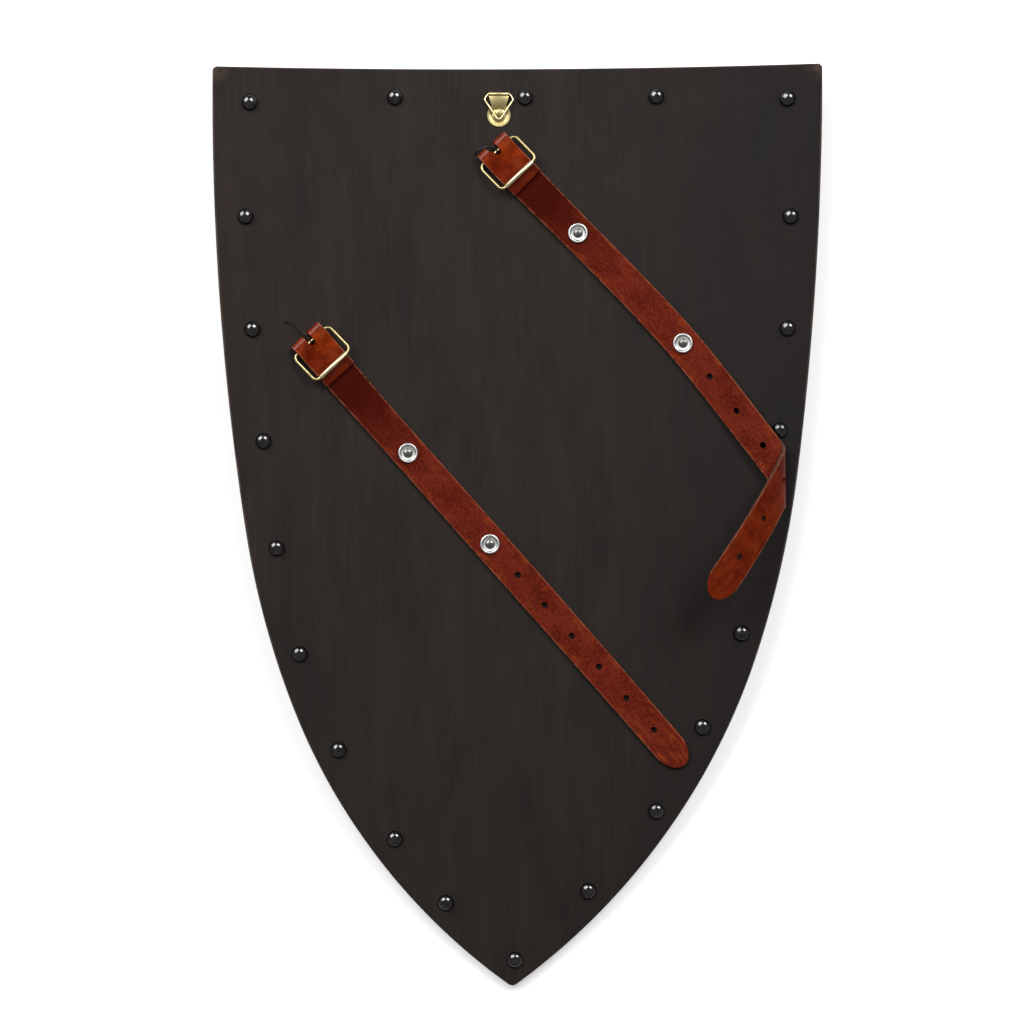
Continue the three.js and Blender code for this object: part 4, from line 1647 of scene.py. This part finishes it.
@dataclass
class Buckle:
    """A wire frame that lies back on its strap, with a roller on its far bar and a thin prong."""

    name: str
    legs: tuple[tuple[tuple[float, float, float], ...], ...]
    length: float = 24.8
    half_width: float = 18
    corner: float = 4
    wire: float = 1.15
    roller: tuple[float, float, float] = (1.45, 1.9, 13.7)
    prong: float = 0.65
    thinning: float = 0.55
    heel_from_fold: float = 7.4
    heel_height: float = 4.55
    roller_rise: float = 4.15

    def build(self, frame: dict, palette: Palette) -> None:
        """Builds the buckle's three pieces.

        Args:
            palette: The materials.
        """
        seat = joint_seat(frame, f"prong_{self.name}_swing")
        lying = seat @ Matrix.Rotation(-math.asin(self.roller_rise / self.length), 4, "Y")
        keep(place(self._frame(), lying), f"buckle_frame_{self.name}", f"frame_{self.name}",
             palette.metals["brass"], 60)
        keep(place(self._roller(), lying @ Matrix.Translation((self.length * MM, 0, 0))),
             f"buckle_roller_{self.name}", f"roller_{self.name}", palette.metals["bright_brass"], 40)
        keep(place(self._prong(), seat), f"buckle_prong_{self.name}", f"prong_{self.name}",
             palette.metals["dark_wire"], 60)

    def _frame(self) -> bpy.types.Object:
        """The frame, a rounded rectangle of round wire in the XY plane.

        Returns:
            The object.
        """
        corners = [(0, -self.half_width, self.corner), (self.length, -self.half_width, self.corner),
                   (self.length, self.half_width, self.corner), (0, self.half_width, self.corner)]
        points = [Vector((p.x, p.y, 0)) * MM for p in rounded_loop(corners, 10)]
        return wire("frame", points, self.wire, closed=True)

    def _roller(self) -> bpy.types.Object:
        """The roller, a thin tube along Y with softened ends.

        Returns:
            The object.
        """
        inner, outer, half = self.roller
        profile = [(inner, -half), (outer - 0.12, -half), (outer, -half + 0.15), (outer, half - 0.15),
                   (outer - 0.12, half), (inner, half), (inner, -half)]
        roller = turned("roller", profile, 36, closed=True)
        return place(roller, Matrix.Rotation(math.pi / 2, 4, "X"))

    def _prong(self) -> bpy.types.Object:
        """The prong: an eye round the heel bar and its legs, which thin towards their ends.

        Returns:
            The object.
        """
        air = 0.3
        fresh()
        bpy.ops.mesh.primitive_torus_add(major_radius=(self.wire + air + self.prong) * MM,
                                         minor_radius=self.prong * MM, major_segments=40, minor_segments=14,
                                         rotation=(math.pi / 2, 0, 0))
        parts = [new_piece("eye")]
        for leg in self.legs:
            knots = [Vector((d - self.heel_from_fold, across, h - self.heel_height)) * MM
                     for d, across, h in leg]
            parts.append(wire("leg", line_through(knots, 8), self.prong,
                              thickness=lambda t: 1 - self.thinning * t**2))
        return join(parts, "prong")


@dataclass
class Hanger:
    """The picture hanger: a plate with a rolled barrel, a wire ring in it, and a screw."""

    half_length: float = 7.8
    barrel: tuple[float, float] = (1.05, 1.55)
    air: float = 0.3
    plate: float = 1.0
    tongue: tuple[float, float] = (7.7, 4.6)
    disc: float = 9
    disc_from: float = 15.8
    screw_from: float = 14
    ring_wire: float = 0.75
    ring_tilt: float = math.radians(7)
    screw: tuple[float, float] = (3.0, 1.3)

    def build(self, frame: dict, palette: Palette) -> None:
        """Builds the hanger's three pieces.

        Args:
            palette: The materials.
        """
        pin = joint_seat(frame, "ring_swing", flip=True)
        axis = pin @ Matrix.Rotation(math.pi / 2, 4, "Z")
        foot = axis @ Matrix.Translation((0, 0, -(self.air + self.barrel[1]) * MM))
        brass = palette.metals["brass"]
        keep(place(self._plate(), foot), "hanger_plate", ROOT_BODY, brass, 40)
        ring_seat = axis @ Matrix.Rotation(-self.ring_tilt, 4, "X")
        bright = palette.metals["bright_brass"]
        keep(place(self._ring(), ring_seat), "hanger_ring", "ring", bright, 60)
        screw_seat = foot @ Matrix.Translation((0, -self.screw_from * MM, 0))
        keep(place(self._screw(), screw_seat), "hanger_screw", ROOT_BODY, brass, 40)

    def _plate(self) -> bpy.types.Object:
        """The tongue, disc and rolled barrel, with a shallow groove round the disc's middle.

        Returns:
            The object, with the barrel along X above the origin.
        """
        low, high, r = self.air, self.air + self.plate, self.disc
        disc = turned("disc", [(r - 0.15, low), (r, low + 0.15), (r, high - 0.25), (r - 0.25, high),
                               (r - 3.6, high), (r - 3.75, high - 0.12), (r - 4.2, high - 0.12),
                               (r - 4.35, high), (0, high)], 72)
        place(disc, Matrix.Translation((0, -self.disc_from * MM, 0)))
        wide, narrow = self.tongue
        fresh()
        bpy.ops.mesh.primitive_plane_add(size=1)
        tongue = new_piece("tongue")
        foot = (-self.disc_from + 4, low + 0.02)
        neck = (0.2 - self.barrel[1], low + 1)
        ends = ((-narrow, *foot), (narrow, *foot), (-wide, *neck), (wide, *neck))
        for vertex, end in zip(tongue.data.vertices, ends):
            vertex.co = Vector(end) * MM
        bpy.ops.object.mode_set(mode="EDIT")
        bpy.ops.mesh.select_all(action="SELECT")
        rise = (0, 0, (self.plate - 0.04) * MM)
        bpy.ops.mesh.extrude_region_move(TRANSFORM_OT_translate={"value": rise})
        bpy.ops.mesh.select_all(action="SELECT")
        bpy.ops.mesh.normals_make_consistent(inside=False)
        bpy.ops.mesh.bevel(offset=0.12 * MM, segments=2)
        bpy.ops.object.mode_set(mode="OBJECT")
        inner, outer = self.barrel
        half = self.half_length
        barrel = turned("barrel", [(inner, -half), (outer - 0.1, -half), (outer, -half + 0.12),
                                   (outer, half - 0.12), (outer - 0.1, half), (inner, half), (inner, -half)],
                        32, closed=True)
        lifted = Matrix.Translation((0, 0, (low + outer) * MM))
        place(barrel, lifted @ Matrix.Rotation(math.pi / 2, 4, "Y"))
        return join([disc, tongue, barrel], "plate")

    def _ring(self) -> bpy.types.Object:
        """The ring, a triangle of wire in the XY plane with its top bar on X.

        Returns:
            The object.
        """
        corners = [(8.4, 0, 1.2), (-8.4, 0, 1.2), (-11, -4.2, 1.6), (0, -21, 1.8), (11, -4.2, 1.6)]
        points = [Vector((p.x, p.y, 0)) * MM for p in rounded_loop(corners, 6)]
        return wire("ring", points, self.ring_wire, closed=True)

    def _screw(self) -> bpy.types.Object:
        """A round-headed screw with a slot.

        Returns:
            The object, along Z.
        """
        head, dome = self.screw
        seat = self.plate + 2 * self.air
        screw = turned("screw", [(1.0, -8), (1.2, -7.6), (1.2, seat), (head - 0.1, seat), (head, seat + 0.15),
                                 (head - 0.05, seat + 0.4), (0.85 * head, seat + 0.8),
                                 (0.6 * head, seat + 1.1), (0.3 * head, seat + 0.97 * dome),
                                 (0, seat + dome)], 40)
        fresh()
        bpy.ops.mesh.primitive_cube_add(size=1, location=(0, 0, (seat + 1.5) * MM),
                                        scale=(2.6 * head * MM, 0.7 * MM, 1.9 * MM), rotation=(0, 0, 0.6))
        cut_away(screw, [new_piece("driver")])
        return screw


# ---- Studio -------------------------------------------------------------------------------------------


@dataclass(frozen=True)
class SoftBox:
    """A square soft light, with its place and size in metres and its power in watts."""

    name: str
    place: tuple[float, float, float]
    size: float
    power: float

    def build(self) -> None:
        """Adds the light, aimed at the middle of the shield."""
        bpy.ops.object.light_add(type="AREA", location=self.place)
        light = bpy.context.object
        light.name = self.name
        light.data.shape = "SQUARE"
        light.data.size = self.size
        light.data.energy = self.power
        light.rotation_mode = "QUATERNION"
        light.rotation_quaternion = (-Vector(self.place)).to_track_quat("-Z", "Y")


@dataclass
class Studio:
    """A white floor, two soft lights beyond the top edge, and a camera straight above the shield."""

    camera_place: tuple[float, float, float] = (-0.00405, 0.011, 2.5845)
    lens: float = 119.5
    sensor: float = 36
    ambient: float = 0.22
    floor_size: float = 6
    floor_drop: float = 0.0005
    boxes: tuple[SoftBox, ...] = (
        SoftBox("key", (-1.75, 2.0, 2.7), 2.4, 113),
        SoftBox("side", (1.5, 1.95, 2.85), 1.5, 80),
    )

    def build(self) -> None:
        """Builds the floor, lights, world and camera."""
        fresh()
        bpy.ops.mesh.primitive_plane_add(size=self.floor_size, location=(0, 0, -self.floor_drop))
        floor = new_piece("floor")
        white = (1, 1, 1, 1)
        material, sheet, shader = surface("white_floor", Base_Color=(0.9, 0.9, 0.9, 1),
                                          Specular_IOR_Level=0.1, Emission_Color=white,
                                          Emission_Strength=0.36)
        cloud = sheet.noise(sheet.add("TexCoord").outputs["Object"], 4, detail=2)
        sheet.feed(shader.inputs["Roughness"], sheet.remap(cloud, 0.3, 0.7, 0.85, 0.95))
        floor.data.materials.append(material)
        for box in self.boxes:
            box.build()
        world = bpy.data.worlds.new("studio")
        world.use_nodes = True
        background = world.node_tree.nodes["Background"]
        background.inputs["Color"].default_value = white
        background.inputs["Strength"].default_value = self.ambient
        scene = bpy.context.scene
        scene.world = world
        scene.view_settings.view_transform = "Standard"
        bpy.ops.object.camera_add(location=self.camera_place, rotation=(0, 0, 0))
        camera = bpy.context.object
        camera.data.sensor_width = self.sensor
        camera.data.lens = self.lens
        scene.camera = camera


# ---- The shield's own pieces --------------------------------------------------------------------------

STRAPS = (
    Strap(
        name="upper",
        knots=((-20.6, 289.2), (-7.2, 275.1), (27.6, 240), (91.4, 175), (132.1, 130), (186.5, 61.2),
               (206.2, 34.3)),
        length=449,
        punches=(242.5, 275.7, 308.4, 341.4, 376.7, 411.7),
        slot_flare=3.6,
        turn_over=TurnOver(),
    ),
    Strap(
        name="lower",
        knots=((-161.9, 144.6), (-148.2, 130.1), (-105.3, 81.8), (-34.7, 2.8), (45.8, -87.8),
               (127.9, -181.3)),
        length=434.5,
        punches=(243.3, 273.9, 304.8, 336, 367.5, 399.2),
    ),
)

# Each leg of a prong from the heel bar outwards: distance from the fold, distance across, height.
BUCKLES = (
    Buckle(
        name="upper",
        thinning=0.2,
        legs=(
            ((5.6, 0, 5.7), (3.9, 0.1, 6), (1.4, -1.7, 5.6), (-1.2, -4.8, 4.8), (-2.5, -8.5, 3.7),
             (-2.9, -11.8, 2.6), (-1.7, -13.6, 1.6)),
            ((5.6, 0, 5.7), (3.9, 0.6, 5.9), (0, 1.2, 5.2), (-3.8, 1.2, 4.2)),
        ),
    ),
    Buckle(
        name="lower",
        legs=(((5.6, 0, 5.7), (1.8, 0.8, 5.3), (-2.8, 1, 4.4), (-8.1, 0.8, 3.2), (-13.6, -1.3, 2.1),
               (-18.1, -4.4, 1.3)),),
    ),
)


def rivet_spots(frame: dict, strap: str) -> dict[str, Vector]:
    """Where a strap's rivets are on the flat pattern, from their CAD washers.

    Args:
        strap: The strap's name.

    Returns:
        Places by the end of the node's name.
    """
    washer_middle = 4.4
    spots = {}
    for node in sorted(frame["nodes"]):
        if node.startswith(f"washer_{strap}"):
            low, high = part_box(node)
            middle = (low + high) / 2
            spot = Vector((BACK.u_of(middle.x, washer_middle), middle.y / MM))
            spots[node.removeprefix("washer_")] = spot
    return spots


def main() -> None:
    """Builds every piece, dresses it and sets up the studio."""
    logging.basicConfig(level=logging.INFO, format="%(name)s %(message)s")
    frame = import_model()
    palette = Palette()
    spots = {strap.name: rivet_spots(frame, strap.name) for strap in STRAPS}
    seats = {name: BACK.seat(*spot) for group in spots.values() for name, spot in group.items()}
    Board().build(palette, list(seats.values()))
    Nails().build(palette, [node for node in sorted(frame["nodes"]) if node.startswith("stud_")])
    for strap in STRAPS:
        strap.build(palette, list(spots[strap.name].values()))
    Rivets().build(palette, seats)
    for buckle in BUCKLES:
        buckle.build(frame, palette)
    Hanger().build(frame, palette)
    Studio().build()


if __name__ == "__main__":
    main()
